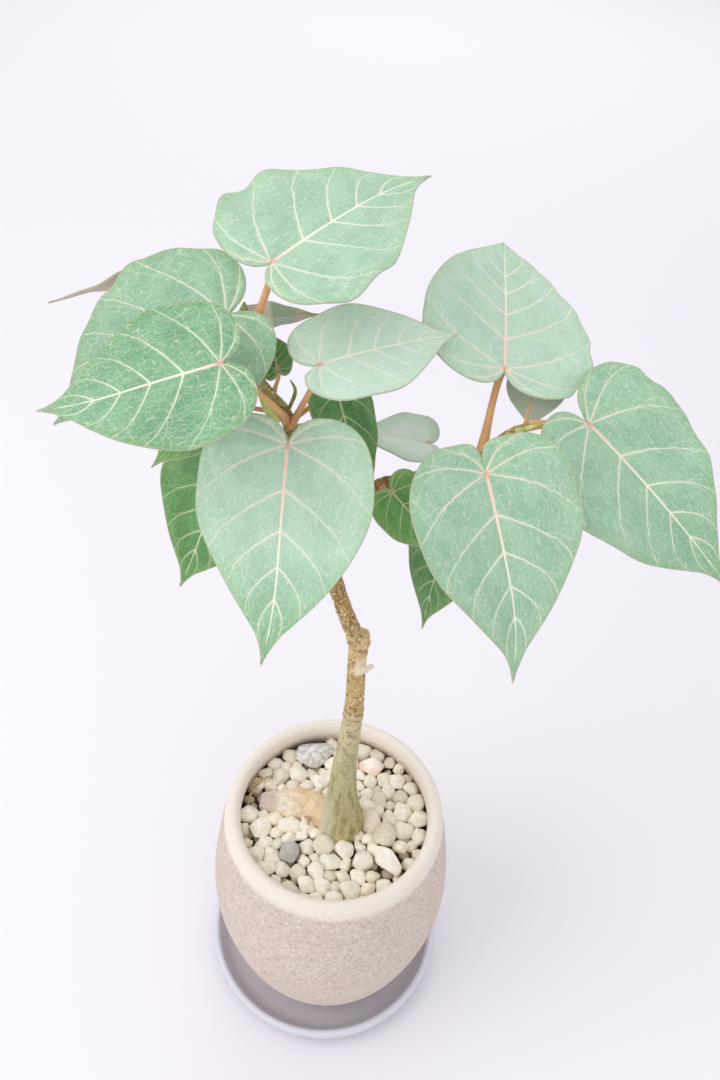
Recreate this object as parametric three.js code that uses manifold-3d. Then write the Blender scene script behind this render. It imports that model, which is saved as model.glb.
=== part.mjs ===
// Potted rock fig: a young fig tree with a swollen foot, in a stone-look pot on a saucer.
// Millimetres, +Z up. The origin is on the pot's axis, where the saucer stands on the table.
import * as THREE from 'three';
import { mergeVertices } from 'three/addons/utils/BufferGeometryUtils.js';
import Module from 'manifold-3d';

const wasm = await Module();
wasm.setup();

const gap = 0.3; // clearance where one piece rests on or passes through another

// Saucer
const saucerRadius = 78;
const saucerHeight = 18;
const saucerWall = 5.5;
const saucerFloor = 7.7;
const saucerFootRadius = 62;
const saucerPlace = [-2, 5]; // the pot stands a little off the saucer's centre

// Pot
const potBottom = saucerFloor + gap;
const potHeight = 165;
const potTop = potBottom + potHeight;
const potMouthRadius = 55;
const potRimRadius = 63.8;
const potFloor = 12;
const potWall = 9;
const drainRadius = 6;
const potSides = 36;

// Soil and gravel
const soilTop = 151;
const gravelBase = 156;
const pebbleCount = 100;
const pebbleSeed = 4711;

// Trunk
const rootBottom = 112;
const trunkRadius = 4.6;
const footRadius = 13;

// Leaves
const bladeThickness = 0.8;
const ribHeight = 0.45;

const materials = {
  saucer: new THREE.MeshStandardMaterial({ color: 0xc3c9d4, roughness: 0.75, metalness: 0 }),
  pot: new THREE.MeshStandardMaterial({ color: 0xd9cfc0, roughness: 0.9, metalness: 0 }),
  soil: new THREE.MeshStandardMaterial({ color: 0x4a3a2c, roughness: 1, metalness: 0 }),
  gravel: new THREE.MeshStandardMaterial({ color: 0xd8d0bc, roughness: 0.85, metalness: 0 }),
  bark: new THREE.MeshStandardMaterial({ color: 0x9a8a66, roughness: 0.9, metalness: 0 }),
  stalk: new THREE.MeshStandardMaterial({ color: 0xc98a55, roughness: 0.6, metalness: 0 }),
  leaf: new THREE.MeshStandardMaterial({ color: 0xa9d0b8, roughness: 0.6, metalness: 0 }),
  youngLeaf: new THREE.MeshStandardMaterial({ color: 0x5f9a63, roughness: 0.45, metalness: 0 }),
  bud: new THREE.MeshStandardMaterial({ color: 0x9aa840, roughness: 0.5, metalness: 0 }),
};

// A position-only geometry becomes a closed solid for joining and cutting.
function toSolid(geometry) {
  const plain = geometry.clone();
  plain.deleteAttribute('normal');
  plain.deleteAttribute('uv');
  const merged = mergeVertices(plain, 1e-4);
  return new wasm.Manifold(new wasm.Mesh({
    numProp: 3,
    vertProperties: new Float32Array(merged.attributes.position.array),
    triVerts: new Uint32Array(merged.index.array),
  }));
}

function toGeometry(solid) {
  const mesh = solid.getMesh();
  const geometry = new THREE.BufferGeometry();
  geometry.setAttribute('position', new THREE.Float32BufferAttribute(mesh.vertProperties, 3));
  geometry.setIndex(Array.from(mesh.triVerts));
  return geometry;
}

function geometryOf(points, triangles) {
  const geometry = new THREE.BufferGeometry();
  geometry.setAttribute('position', new THREE.Float32BufferAttribute(points.flat(), 3));
  geometry.setIndex(triangles.flat());
  return geometry;
}

// The same generator everywhere keeps the pebbles where they are from run to run.
function makeRandom(seed) {
  let state = seed;
  return () => {
    state = (state * 16807) % 2147483647;
    return state / 2147483647;
  };
}

const part = new THREE.Group();

function addNode(name, geometry, material) {
  const mesh = new THREE.Mesh(geometry, material);
  mesh.name = name;
  part.add(mesh);
}

// A profile in (radius, height) turned round the Z axis.
function turned(profile, sides) {
  const points = profile.map(([radius, height]) => new THREE.Vector2(radius, height));
  return new THREE.LatheGeometry(points, sides).rotateX(Math.PI / 2);
}

// A rounded corner in a turned profile: a quarter circle between two angles in degrees.
function corner(radius, height, size, from, to, steps) {
  const points = [];
  for (let i = 0; i <= steps; i += 1) {
    const angle = THREE.MathUtils.degToRad(from + ((to - from) * i) / steps);
    points.push([radius + size * Math.cos(angle), height + size * Math.sin(angle)]);
  }
  return points;
}

function makeSaucer() {
  const rim = saucerWall / 2;
  return turned([
    [0, 0],
    [saucerFootRadius, 0],
    [saucerRadius - 6, 4],
    [saucerRadius - 0.6, 10],
    ...corner(saucerRadius - rim, saucerHeight - rim, rim, 0, 180, 3),
    [saucerRadius - saucerWall - 1, 11],
    [saucerRadius - saucerWall - 5, saucerFloor],
    [0, saucerFloor],
  ], potSides).translate(...saucerPlace, 0);
}

// Outer radius of the pot's wall: it swells above the foot and draws in again to the rim.
const potBelly = new THREE.CatmullRomCurve3([
  new THREE.Vector3(46, 0, potBottom),
  new THREE.Vector3(56, 0, potBottom + 16),
  new THREE.Vector3(64.5, 0, potBottom + 40),
  new THREE.Vector3(72.4, 0, potBottom + 81),
  new THREE.Vector3(68.8, 0, potBottom + 129),
  new THREE.Vector3(potRimRadius, 0, potTop - 4),
]);

function makePot() {
  const wall = potBelly.getPoints(8).map((point) => [point.x, point.z]);
  const rim = (potRimRadius - potMouthRadius) / 2;
  const inside = wall.slice(2, -1).reverse().map(([radius, height]) => [radius - potWall, height]);
  return turned([
    [drainRadius, potBottom],
    [42, potBottom],
    ...wall,
    ...corner(potRimRadius - rim, potTop - rim, rim, 30, 150, 3),
    [potMouthRadius + 0.4, potTop - 10],
    ...inside,
    [40, potBottom + potFloor],
    [drainRadius, potBottom + potFloor],
    [drainRadius, potBottom],
  ], potSides);
}

// Inner radius of the pot at a height, for what lies in it.
function potInside(height) {
  let radius = potMouthRadius;
  for (const point of potBelly.getPoints(60)) {
    if (point.z <= height) radius = point.x - potWall;
  }
  return radius;
}

// A tube of rings along a smooth path, with its own radius at each point and closed ends.
function limb(points, radii, rings, sides, relief = () => 0, swell = 0) {
  const curve = new THREE.CatmullRomCurve3(points.map((point) => new THREE.Vector3(...point)));
  curve.curveType = 'centripetal';
  const vertices = [];
  const triangles = [];
  const across = new THREE.Vector3(1, 0, 0);
  for (let i = 0; i <= rings; i += 1) {
    const t = i / rings;
    const centre = curve.getPoint(t);
    const tangent = curve.getTangent(t);
    if (i === 0) centre.addScaledVector(tangent, -swell);
    if (i === rings) centre.addScaledVector(tangent, swell);
    across.addScaledVector(tangent, -across.dot(tangent)).normalize();
    const other = new THREE.Vector3().crossVectors(tangent, across);
    const place = t * (radii.length - 1);
    const k = Math.min(Math.floor(place), radii.length - 2);
    const radius = THREE.MathUtils.lerp(radii[k], radii[k + 1], place - k);
    for (let j = 0; j < sides; j += 1) {
      const angle = (2 * Math.PI * j) / sides;
      const reach = radius * (1 + relief(t, angle)) + swell;
      const vertex = centre.clone();
      vertex.addScaledVector(across, reach * Math.cos(angle));
      vertex.addScaledVector(other, reach * Math.sin(angle));
      vertices.push(vertex.toArray());
    }
  }
  for (let i = 0; i < rings; i += 1) {
    for (let j = 0; j < sides; j += 1) {
      const a = i * sides + j;
      const b = i * sides + ((j + 1) % sides);
      triangles.push([a, b, b + sides], [a, b + sides, a + sides]);
    }
  }
  const start = vertices.length;
  vertices.push(curve.getPoint(0).addScaledVector(curve.getTangent(0), -swell).toArray());
  vertices.push(curve.getPoint(1).addScaledVector(curve.getTangent(1), swell).toArray());
  for (let j = 0; j < sides; j += 1) {
    const next = (j + 1) % sides;
    triangles.push([start, next, j], [start + 1, rings * sides + j, rings * sides + next]);
  }
  return geometryOf(vertices, triangles);
}

// The trunk: a swollen foot, a bare stem with a knee, and the left shoot that carries on from it.
const trunkPath = [
  [5, -2, rootBottom], [5, -2, 140], [6, -2, 160], [4, -1, 182], [4, 0, 210], [5.6, 0, 245], [6.3, 0, 275],
  [6, 0, 300], [5.2, 0, 319], [-1, 0, 337], [-7, 0, 360], [-15, 1, 388], [-23, 2, 412], [-29, 4.5, 441.5],
  [-35.8, 6.3, 449.7], [-41, 9, 457], [-43, 13, 474],
];
const trunkRadii = [
  4, 9, footRadius, 9.5, 7, 5.4, trunkRadius, trunkRadius, 5, 4.4, 4.4, 4, 3.6, 2.7, 2.1, 1.9, 1.8,
];
const branchPath = [
  [-9, 0, 368], [-3, 0, 392], [4, 0, 408], [11, 0, 415], [19, 0, 417], [32, 0, 425], [47, 1, 432],
  [58, 3, 442], [67, 4, 446],
];
const branchRadii = [3, 2.8, 2.8, 2.9, 2.5, 2.3, 2.3, 2, 1.7];
const rootLobePath = [[2, 1, 154], [-12, 6, 155], [-28, 8, 155.5], [-44, 9, 155]];
const rootLobeRadii = [11, 10.5, 10, 6.5];

function trunkSolid(swell) {
  const barkRidges = (t, angle) => {
    const foot = Math.max(0, 1 - Math.abs(t - 0.16) / 0.16);
    return 0.1 * foot * Math.cos(5 * angle + 1) + 0.04 * Math.sin(3 * angle + 40 * t);
  };
  const rootRidges = (t, angle) => 0.08 * Math.sin(3 * angle + 5 * t);
  const ringScars = (t, angle) => 0.1 * Math.sin(75 * t) + 0.03 * Math.cos(2 * angle);
  const stubs = [
    { path: [[5.6, 0, 310], [7.6, 0, 325]], radii: [4.6, 3.6] },
    { path: [[6, -2, 297], [13, -3, 303]], radii: [2.6, 1.5] },
    { path: [[-5, 0, 350], [-8, -5, 353]], radii: [2.6, 1.9] },
  ];
  let solid = toSolid(limb(trunkPath, trunkRadii, 42, 12, barkRidges, swell));
  solid = solid.add(toSolid(limb(branchPath, branchRadii, 18, 8, ringScars, swell)));
  solid = solid.add(toSolid(limb(rootLobePath, rootLobeRadii, 7, 12, rootRidges, swell)));
  for (const stub of stubs) {
    solid = solid.add(toSolid(limb(stub.path, stub.radii, 1, 8, undefined, swell)));
  }
  return solid;
}

const trunk = trunkSolid(0);
const trunkClearance = trunkSolid(gap);

function makeSoil() {
  const bottom = potBottom + potFloor + gap;
  const heights = [bottom, bottom + 22, bottom + 55, bottom + 90, soilTop];
  const wall = heights.map((height) => [Math.min(potInside(height), potInside(height - 3)) - 1, height]);
  const solid = toSolid(turned([[0, bottom], [38, bottom], ...wall.slice(1), [0, soilTop]], potSides));
  return toGeometry(solid.subtract(trunkClearance));
}

// A pebble is an icosahedron pushed about by seeded draws, with three half lengths.
function pebble(random, halves, turn, detail) {
  const sphere = new THREE.IcosahedronGeometry(1, detail);
  const bare = new THREE.BufferGeometry().setAttribute('position', sphere.attributes.position);
  const merged = mergeVertices(bare, 1e-4);
  const position = merged.attributes.position;
  for (let i = 0; i < position.count; i += 1) {
    const reach = 0.92 + 0.16 * random();
    position.setXYZ(
      i,
      position.getX(i) * reach * halves[0],
      position.getY(i) * reach * halves[1],
      position.getZ(i) * reach * halves[2],
    );
  }
  return merged.rotateZ(turn);
}

// Five stones of other colours lie among the cream ones: place, half lengths and turn.
const stones = [
  { name: 'stone_grey_speckled', at: [-15, 43, 160], halves: [9.5, 7.5, 6], turn: 0.1, color: 0xb9b9b9 },
  { name: 'stone_slate', at: [-24, -24, 160.5], halves: [6, 6.5, 5], turn: 0.4, color: 0x9aa3a8 },
  { name: 'stone_white', at: [33, -26, 161], halves: [8.5, 5, 4.5], turn: -0.7, color: 0xe9e7e0 },
  { name: 'stone_beige', at: [31, -9, 161], halves: [7.5, 8, 5.5], turn: 0.3, color: 0xcabfa6 },
  { name: 'stone_pink_white', at: [21, 37, 160.5], halves: [7.5, 7, 5.5], turn: 0, color: 0xdcc6b6 },
];

function stoneGeometry(stone, swell) {
  const halves = stone.halves.map((half) => half + swell);
  return pebble(makeRandom(stone.name.length * 31), halves, stone.turn, 1).translate(...stone.at);
}

// Cream pebbles dropped where there is room, sunk into a thin bed that follows the pot's wall.
function makeGravel() {
  const random = makeRandom(pebbleSeed);
  const reach = potInside(gravelBase) - 1;
  let solid = toSolid(turned([
    [0, soilTop + gap], [reach - 0.5, soilTop + gap], [reach, gravelBase], [0, gravelBase],
  ], potSides));
  const placed = stones.map((stone) => [stone.at[0], stone.at[1], Math.max(...stone.halves) * 0.85]);
  placed.push([5, -2, 13], [-10, 6, 10], [-22, 8, 10], [-34, 8, 10], [-45, 9, 7]);
  let tries = 0;
  while (placed.length < pebbleCount && tries < 9000) {
    tries += 1;
    const size = 4 + 2.6 * random();
    const ring = (reach - size) * Math.sqrt(random());
    const turn = 2 * Math.PI * random();
    const x = ring * Math.cos(turn);
    const y = ring * Math.sin(turn);
    const free = placed.every(([px, py, pr]) => Math.hypot(x - px, y - py) > (size + pr) * 0.84);
    if (free) {
      placed.push([x, y, size]);
      const halves = [size * (0.9 + 0.3 * random()), size * (0.8 + 0.2 * random()), size * 0.75];
      const height = gravelBase + (0.2 + 0.3 * random()) * size;
      const grain = pebble(random, halves, Math.PI * random(), 0).translate(x, y, height);
      solid = solid.add(toSolid(grain));
    }
  }
  const mouth = potMouthRadius - gap * 2;
  solid = solid.intersect(toSolid(turned([
    [0, soilTop], [reach + 0.5, soilTop], [reach + 0.5, gravelBase], [mouth, potTop - 10], [mouth, potTop],
    [0, potTop],
  ], potSides)));
  solid = solid.subtract(trunkClearance);
  for (const stone of stones) {
    solid = solid.subtract(toSolid(stoneGeometry(stone, gap * 1.3)));
  }
  const pieces = solid.decompose().sort((a, b) => b.volume() - a.volume());
  return toGeometry(pieces[0]);
}

// One half of the heart-shaped outline for a leaf of length 1 and half width 1, from the base round the
// back lobe and down the side to the drawn-out tip. w runs from 0 at the base to 1 at the tip.
const outlineStops = [0, 0.15, 0.42, 0.85, 1];

function outlinePoint(w, lobe) {
  const pieces = [
    [[0, 0], [-0.6 * lobe, 0.03], [-lobe, 0.16], [-lobe, 0.4]],
    [[-lobe, 0.4], [-lobe, 0.74], [-0.02, 1], [0.2, 1]],
    [[0.2, 1], [0.45, 1], [0.66, 0.55], [0.84, 0.17]],
    [[0.84, 0.17], [0.9, 0.07], [0.95, 0.03], [1, 0]],
  ];
  let k = 0;
  while (k < 3 && w > outlineStops[k + 1]) k += 1;
  const t = (w - outlineStops[k]) / (outlineStops[k + 1] - outlineStops[k]);
  const [a, b, c, d] = pieces[k].map(([x, y]) => new THREE.Vector2(x, y));
  const point = new THREE.CubicBezierCurve(a, b, c, d).getPoint(t);
  return [point.x, point.y];
}

// Height of the blade above its own plane: it arches, folds along the midrib, twists and waves.
function bladeLift(leaf, x, y) {
  const half = leaf.width / 2;
  const s = x / leaf.length;
  const t = y / half;
  const arch = s > 0 ? -leaf.bend * leaf.length * s * s : 0.6 * leaf.bend * leaf.length * s * s;
  const fold = leaf.fold * (Math.sqrt(y * y + 1) - 1);
  const turns = leaf.waves * s + leaf.phase;
  const wave = leaf.wave * t * t * Math.sin(2 * Math.PI * turns + (y > 0 ? 0 : 2));
  return arch + fold + leaf.twist * y * s + wave;
}

// The leaf's own axes: along the midrib, across it, and out of its upper face.
function bladeAxes(leaf) {
  const heading = THREE.MathUtils.degToRad(leaf.heading);
  const pitch = THREE.MathUtils.degToRad(leaf.pitch);
  const roll = THREE.MathUtils.degToRad(leaf.roll);
  const along = new THREE.Vector3(
    Math.cos(pitch) * Math.cos(heading),
    Math.cos(pitch) * Math.sin(heading),
    Math.sin(pitch),
  );
  const up = new THREE.Vector3(
    -Math.sin(pitch) * Math.cos(heading),
    -Math.sin(pitch) * Math.sin(heading),
    Math.cos(pitch),
  );
  const side = new THREE.Vector3().crossVectors(up, along);
  const across = side.clone().multiplyScalar(Math.cos(roll)).addScaledVector(up, Math.sin(roll));
  const out = up.clone().multiplyScalar(Math.cos(roll)).addScaledVector(side, -Math.sin(roll));
  return { along, across, out };
}

// A point of the blade from its flat place, raised off the middle surface by a height.
function bladePoint(leaf, axes, x, y, raised) {
  const step = 0.5;
  const lift = bladeLift(leaf, x, y);
  const slopeX = (bladeLift(leaf, x + step, y) - bladeLift(leaf, x - step, y)) / (2 * step);
  const slopeY = (bladeLift(leaf, x, y + step) - bladeLift(leaf, x, y - step)) / (2 * step);
  const size = Math.sqrt(1 + slopeX * slopeX + slopeY * slopeY);
  const tip = Math.max(0, (x / leaf.length - 0.55) / 0.45);
  const point = new THREE.Vector3(...leaf.at);
  point.addScaledVector(axes.along, x - (raised * slopeX) / size);
  point.addScaledVector(axes.across, y + leaf.turn * leaf.length * tip * tip - (raised * slopeY) / size);
  point.addScaledVector(axes.out, lift + raised / size);
  return point.toArray();
}

// A blade: rows fan from the base into the lobe and then leave the midrib as the side veins do. Every
// second row is a raised vein and the rows between are sunk. Both faces are split alike.
function makeBlade(leaf) {
  const axes = bladeAxes(leaf);
  const large = leaf.length > 50;
  const rows = large ? 14 : 10;
  const columns = large ? 3 : 2;
  const points = [];
  const sides = [1, -1].map((hand) => {
    const grid = [];
    for (let i = 1; i < rows; i += 1) {
      const w = i / rows;
      const foot = Math.max(0, (w - 0.42) / 0.58);
      const [edgeX, edgeY] = outlinePoint(w, leaf.lobe);
      const row = [];
      for (let j = 0; j <= columns; j += 1) {
        const v = j / columns;
        const x = (foot + (edgeX - foot) * v) * leaf.length;
        const y = (hand * edgeY * v * leaf.width) / 2;
        const vein = large && i % 2 === 1 ? -0.6 : 0.6;
        const rib = j === 0 ? ribHeight * 0.5 : ribHeight * vein * (j === columns ? 0.3 : 1);
        row.push({ x, y, rib: large ? rib : rib * 0.4 });
      }
      grid.push(row);
    }
    return grid;
  });
  const place = ({ x, y, rib }, face) => {
    points.push(bladePoint(leaf, axes, x, y, rib + (face * bladeThickness) / 2));
    return points.length - 1;
  };
  const tip = { x: leaf.length, y: 0, rib: 0 };
  const base = { x: 0, y: 0, rib: 0 };
  const triangles = [];
  const faces = [1, -1].map((face) => {
    const tipIndex = place(tip, face);
    const baseIndex = place(base, face);
    const middle = new Map();
    const grids = sides.map((grid) => grid.map((row) => row.map((spot, j) => {
      if (j > 0) return place(spot, face);
      if (spot.x === 0) return baseIndex;
      if (!middle.has(spot.x)) middle.set(spot.x, place(spot, face));
      return middle.get(spot.x);
    })));
    return { tipIndex, baseIndex, grids };
  });
  const addTriangle = (a, b, c, flip) => {
    if (a === b || b === c || a === c) return;
    triangles.push(flip ? [a, c, b] : [a, b, c]);
  };
  faces.forEach(({ tipIndex, grids }, faceNumber) => {
    grids.forEach((grid, handNumber) => {
      const flip = (faceNumber === 1) !== (handNumber === 1);
      for (let i = 0; i + 1 < grid.length; i += 1) {
        for (let j = 0; j < columns; j += 1) {
          addTriangle(grid[i][j], grid[i + 1][j], grid[i + 1][j + 1], flip);
          addTriangle(grid[i][j], grid[i + 1][j + 1], grid[i][j + 1], flip);
        }
      }
      const last = grid[grid.length - 1];
      for (let j = 0; j < columns; j += 1) addTriangle(last[j], tipIndex, last[j + 1], flip);
    });
  });
  const [top, bottom] = faces;
  [0, 1].forEach((handNumber) => {
    const edge = ({ grids, tipIndex }) => [
      ...grids[handNumber][0],
      ...grids[handNumber].slice(1).map((row) => row[columns]),
      tipIndex,
    ];
    const topEdge = edge(top);
    const bottomEdge = edge(bottom);
    for (let i = 0; i + 1 < topEdge.length; i += 1) {
      addTriangle(topEdge[i], topEdge[i + 1], bottomEdge[i + 1], handNumber === 1);
      addTriangle(topEdge[i], bottomEdge[i + 1], bottomEdge[i], handNumber === 1);
    }
  });
  return geometryOf(points, triangles);
}

// Every leaf: where its blade starts, how it points, its size and form, and its stalk's root and radius.
const flat = { turn: 0, twist: 0, phase: 0, waves: 2.2, wave: 0.8, fold: 0.06, bend: 0.08, lobe: 0.15 };
const leaves = [
  {
    name: 'top', at: [-35, 14, 498], heading: 43, pitch: 20, roll: 11, length: 74, width: 70, lobe: 0.12,
    bend: 0.12, turn: -0.05, fold: 0.1, wave: 2, waves: 3.2, phase: 0.1, root: [-42, 12, 470], stalk: 1.5,
  },
  {
    name: 'upper_left', at: [-51.5, 11, 478], heading: 201.7, pitch: -24, roll: -34, length: 77, width: 65,
    lobe: 0.17, bend: 0.13, turn: 0.02, twist: -0.5, wave: 1.3, phase: 0.4, root: [-42, 9.5, 465],
    stalk: 1.2,
  },
  {
    name: 'left_front', at: [-48, -22, 478], heading: 198, pitch: -12, roll: -24, length: 63, width: 57,
    bend: 0.06, turn: -0.06, fold: 0.02, wave: 1, waves: 2, phase: 0.2, root: [-28.5, 3.5, 439],
    bow: [0.6, -0.6, 0.2], stalk: 1.1,
  },
  {
    name: 'middle', at: [-16, -3, 469], heading: 24, pitch: 10, roll: 8, length: 55, width: 47, bend: 0.12,
    fold: 0.09, twist: 0.3, waves: 2, phase: 0.5, root: [-27, 3, 437], bow: [0, -0.4, 0.2], stalk: 1.3,
  },
  {
    name: 'centre_front', at: [-26, -16, 442], heading: -92, pitch: -50, roll: 12, length: 83, width: 69,
    lobe: 0.13, bend: 0.06, turn: -0.05, fold: 0.03, wave: 1.2, waves: 2.5, root: [-25, 3, 422], stalk: 1.5,
  },
  {
    name: 'tip_left_low', at: [-55, 12, 440], heading: 215, pitch: -30, roll: -10, length: 38, width: 32,
    root: [-28, 5, 440], stalk: 1, phase: 0.3,
  },
  {
    name: 'young_left', at: [-32.1, 4.5, 461.6], heading: 108, pitch: 28, roll: -30, length: 16, width: 14,
    lobe: 0.26, wave: 0.4, young: true, root: [-34, 7, 448], stalk: 0.8,
  },
  {
    name: 'dark_middle', at: [-10, 12, 448], heading: -62, pitch: -42, roll: -18, length: 46, width: 32,
    lobe: 0.14, twist: -0.2, wave: 0.6, phase: 0.2, young: true, root: [-27, 4, 439], stalk: 1,
  },
  {
    name: 'small_pale', at: [28, 16, 425], heading: 182, pitch: 7, roll: -3, length: 32, width: 32,
    lobe: 0.14, bend: 0.04, fold: 0.14, twist: 0.1, wave: 0.5, phase: 0.1, root: [27, 0, 422], stalk: 0.9,
  },
  {
    name: 'small_bright', at: [14, -14, 422], heading: -22, pitch: -40, roll: 15, length: 32, width: 29,
    fold: 0.01, wave: 0.6, phase: 0.4, young: true, root: [10, 0, 414], stalk: 0.9,
  },
  {
    name: 'dark_lower_left', at: [-52, 9, 417], heading: 230, pitch: -58, roll: -7, length: 65, width: 55,
    lobe: 0.14, bend: 0.1, turn: -0.04, twist: -0.2, wave: 1, phase: 0.2, young: true,
    root: [-22, 2, 408], stalk: 1.2,
  },
  {
    name: 'behind_centre', at: [-11, 21, 418], heading: -52, pitch: -76, roll: 0, length: 54, width: 40,
    wave: 0.6, phase: 0.1, young: true, root: [-27, 5, 434], bow: [0, 1, 0.5], stalk: 0.8,
  },
  {
    name: 'low_right', at: [41, 4, 395], heading: -118, pitch: -64, roll: 24, length: 52, width: 42,
    lobe: 0.14, phase: 0.5, young: true, root: [32, 0, 424], stalk: 1,
  },
  {
    name: 'right_front', at: [44.6, -34.6, 449.8], heading: -65, pitch: -43, roll: 1, length: 73, width: 65,
    lobe: 0.16, bend: 0.13, turn: -0.07, fold: 0.13, twist: -0.2, wave: 1.1, waves: 2.5, phase: 0.3,
    root: [41, 1, 429], stalk: 1.5,
  },
  {
    name: 'far_right', at: [86.4, 4.2, 447.6], heading: -27, pitch: -31, roll: 16, length: 86, width: 76,
    lobe: 0.16, bend: 0.11, fold: 0.16, twist: 0.2, wave: 2.4, root: [64, 4, 445], stalk: 1.5,
  },
  {
    name: 'right_upper', at: [53.6, 21.5, 458.6], heading: 87.5, pitch: 21, roll: 15, length: 73, width: 72,
    bend: 0.1, fold: 0.13, wave: 1.3, waves: 2.5, phase: 0.6, root: [47.5, 2, 432.5], stalk: 1.6,
  },
  {
    name: 'under_right', at: [69.1, 30.5, 450.2], heading: -99, pitch: -39, roll: 180, length: 21, width: 24,
    lobe: 0.12, bend: -0.1, fold: -0.1, wave: 0.5, phase: 0.2, young: true, root: [62, 4, 444], stalk: 0.6,
  },
  {
    name: 'far_left_edge', at: [-77.8, 45, 481], heading: 206, pitch: -8, roll: 32, length: 49, width: 38,
    bend: 0.01, wave: 1.6, phase: 0.3, root: [-42.5, 13, 467], bow: [-0.4, 1, -0.2], stalk: 0.9,
  },
  {
    name: 'young_behind', at: [-46, 25, 470.5], heading: 9, pitch: 5, roll: -54, length: 28, width: 26,
    lobe: 0.1, bend: 0, fold: 0.1, wave: 0.6, phase: 0.2, young: true, root: [-40, 10, 458],
    bow: [-1, 0.6, 0.8], stalk: 0.8,
  },
].map((leaf) => ({ ...flat, ...leaf }));

// A leaf stalk leaves the stem, bows, and comes up under the blade just past its base.
function makeStalk(leaf) {
  const axes = bladeAxes(leaf);
  const meet = 2;
  const raised = leaf.length > 50 ? ribHeight * 0.45 : ribHeight * 0.15;
  const end = new THREE.Vector3(...bladePoint(leaf, axes, meet, 0, raised));
  const arrive = axes.along.clone().multiplyScalar(0.55).addScaledVector(axes.out, 0.83).normalize();
  const lean = Math.sqrt(1 - arrive.dot(axes.out) ** 2);
  const below = bladeThickness / 2 + gap + leaf.stalk * lean;
  end.addScaledVector(axes.out, -below / arrive.dot(axes.out));
  const root = new THREE.Vector3(...leaf.root);
  const reach = end.distanceTo(root);
  const bow = leaf.bow ?? [0, 0, 0.3];
  const leave = end.clone().sub(root).normalize().add(new THREE.Vector3(...bow)).normalize();
  const curve = new THREE.CubicBezierCurve3(
    root,
    root.clone().addScaledVector(leave, reach * 0.35),
    end.clone().addScaledVector(arrive, -reach * 0.35),
    end,
  );
  const points = curve.getPoints(6).map((point) => point.toArray());
  const radii = [leaf.stalk * 1.15, leaf.stalk, leaf.stalk * 0.95, leaf.stalk];
  const solid = toSolid(limb(points, radii, reach > 25 ? 8 : 5, 6));
  return toGeometry(solid.subtract(trunkClearance));
}

// Buds and leaf sheaths are slim closed cones that sit on the shoots.
const buds = [
  {
    name: 'bud_left', path: [[-43.6, 13.6, 472], [-45.2, 13.6, 478], [-45, 13.4, 482.5]],
    radii: [1.3, 1.5, 0.4],
  },
  { name: 'bud_right', path: [[58, 3, 442], [62.5, 0, 446.5], [68.5, -1, 450]], radii: [1, 1.4, 0.4] },
  {
    name: 'sheath_left', path: [[-31.5, 3, 444.8], [-35.4, 2.6, 450], [-39.5, 4.6, 456]],
    radii: [1.2, 1.8, 0.5],
  },
  { name: 'stipule_left', path: [[-28, 6, 443], [-26, 10, 449], [-28, 11, 453]], radii: [0.7, 0.8, 0.3] },
];

addNode('saucer', makeSaucer(), materials.saucer);
addNode('pot', makePot(), materials.pot);
addNode('soil', makeSoil(), materials.soil);
addNode('gravel', makeGravel(), materials.gravel);
for (const stone of stones) {
  const finish = new THREE.MeshStandardMaterial({ color: stone.color, roughness: 0.85, metalness: 0 });
  addNode(stone.name, stoneGeometry(stone, 0), finish);
}
addNode('trunk', toGeometry(trunk), materials.bark);
for (const leaf of leaves) {
  addNode(`stalk_${leaf.name}`, makeStalk(leaf), materials.stalk);
  addNode(`leaf_${leaf.name}`, makeBlade(leaf), leaf.young ? materials.youngLeaf : materials.leaf);
}
for (const bud of buds) {
  const solid = toSolid(limb(bud.path, bud.radii, 4, 6));
  addNode(bud.name, toGeometry(solid.subtract(trunkClearance)), materials.bud);
}

export default part;
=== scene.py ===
import math
import random
from functools import partial

import bpy
import numpy as np
from mathutils import Matrix, Vector, noise


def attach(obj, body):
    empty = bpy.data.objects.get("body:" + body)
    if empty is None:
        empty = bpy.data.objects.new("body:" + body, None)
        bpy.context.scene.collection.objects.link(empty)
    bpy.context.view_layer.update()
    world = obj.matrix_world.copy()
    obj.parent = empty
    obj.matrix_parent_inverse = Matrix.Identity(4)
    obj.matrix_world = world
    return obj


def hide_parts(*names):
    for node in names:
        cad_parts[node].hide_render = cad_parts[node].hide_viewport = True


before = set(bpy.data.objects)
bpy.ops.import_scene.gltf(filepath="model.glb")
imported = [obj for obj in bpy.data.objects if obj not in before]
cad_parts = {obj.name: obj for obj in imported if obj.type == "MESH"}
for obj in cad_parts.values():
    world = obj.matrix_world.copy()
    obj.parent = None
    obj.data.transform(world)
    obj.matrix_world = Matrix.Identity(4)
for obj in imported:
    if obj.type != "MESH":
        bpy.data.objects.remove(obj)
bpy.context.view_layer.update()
print("frame loaded")

mm = 0.001


def linearColour(hexCode):
    channels = [int(hexCode[i:i + 2], 16) / 255 for i in (0, 2, 4)]
    linear = [c / 12.92 if c <= 0.04045 else ((c + 0.055) / 1.055) ** 2.4 for c in channels]
    return (*linear, 1)


# sets a socket from a value or a hex colour, or links it from a node or an output
def plug(value, socket):
    if isinstance(value, bpy.types.Node):
        value = next(output for output in value.outputs if output.enabled)
    if isinstance(value, bpy.types.NodeSocket):
        socket.id_data.links.new(value, socket)
    else:
        socket.default_value = linearColour(value) if isinstance(value, str) else value


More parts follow.
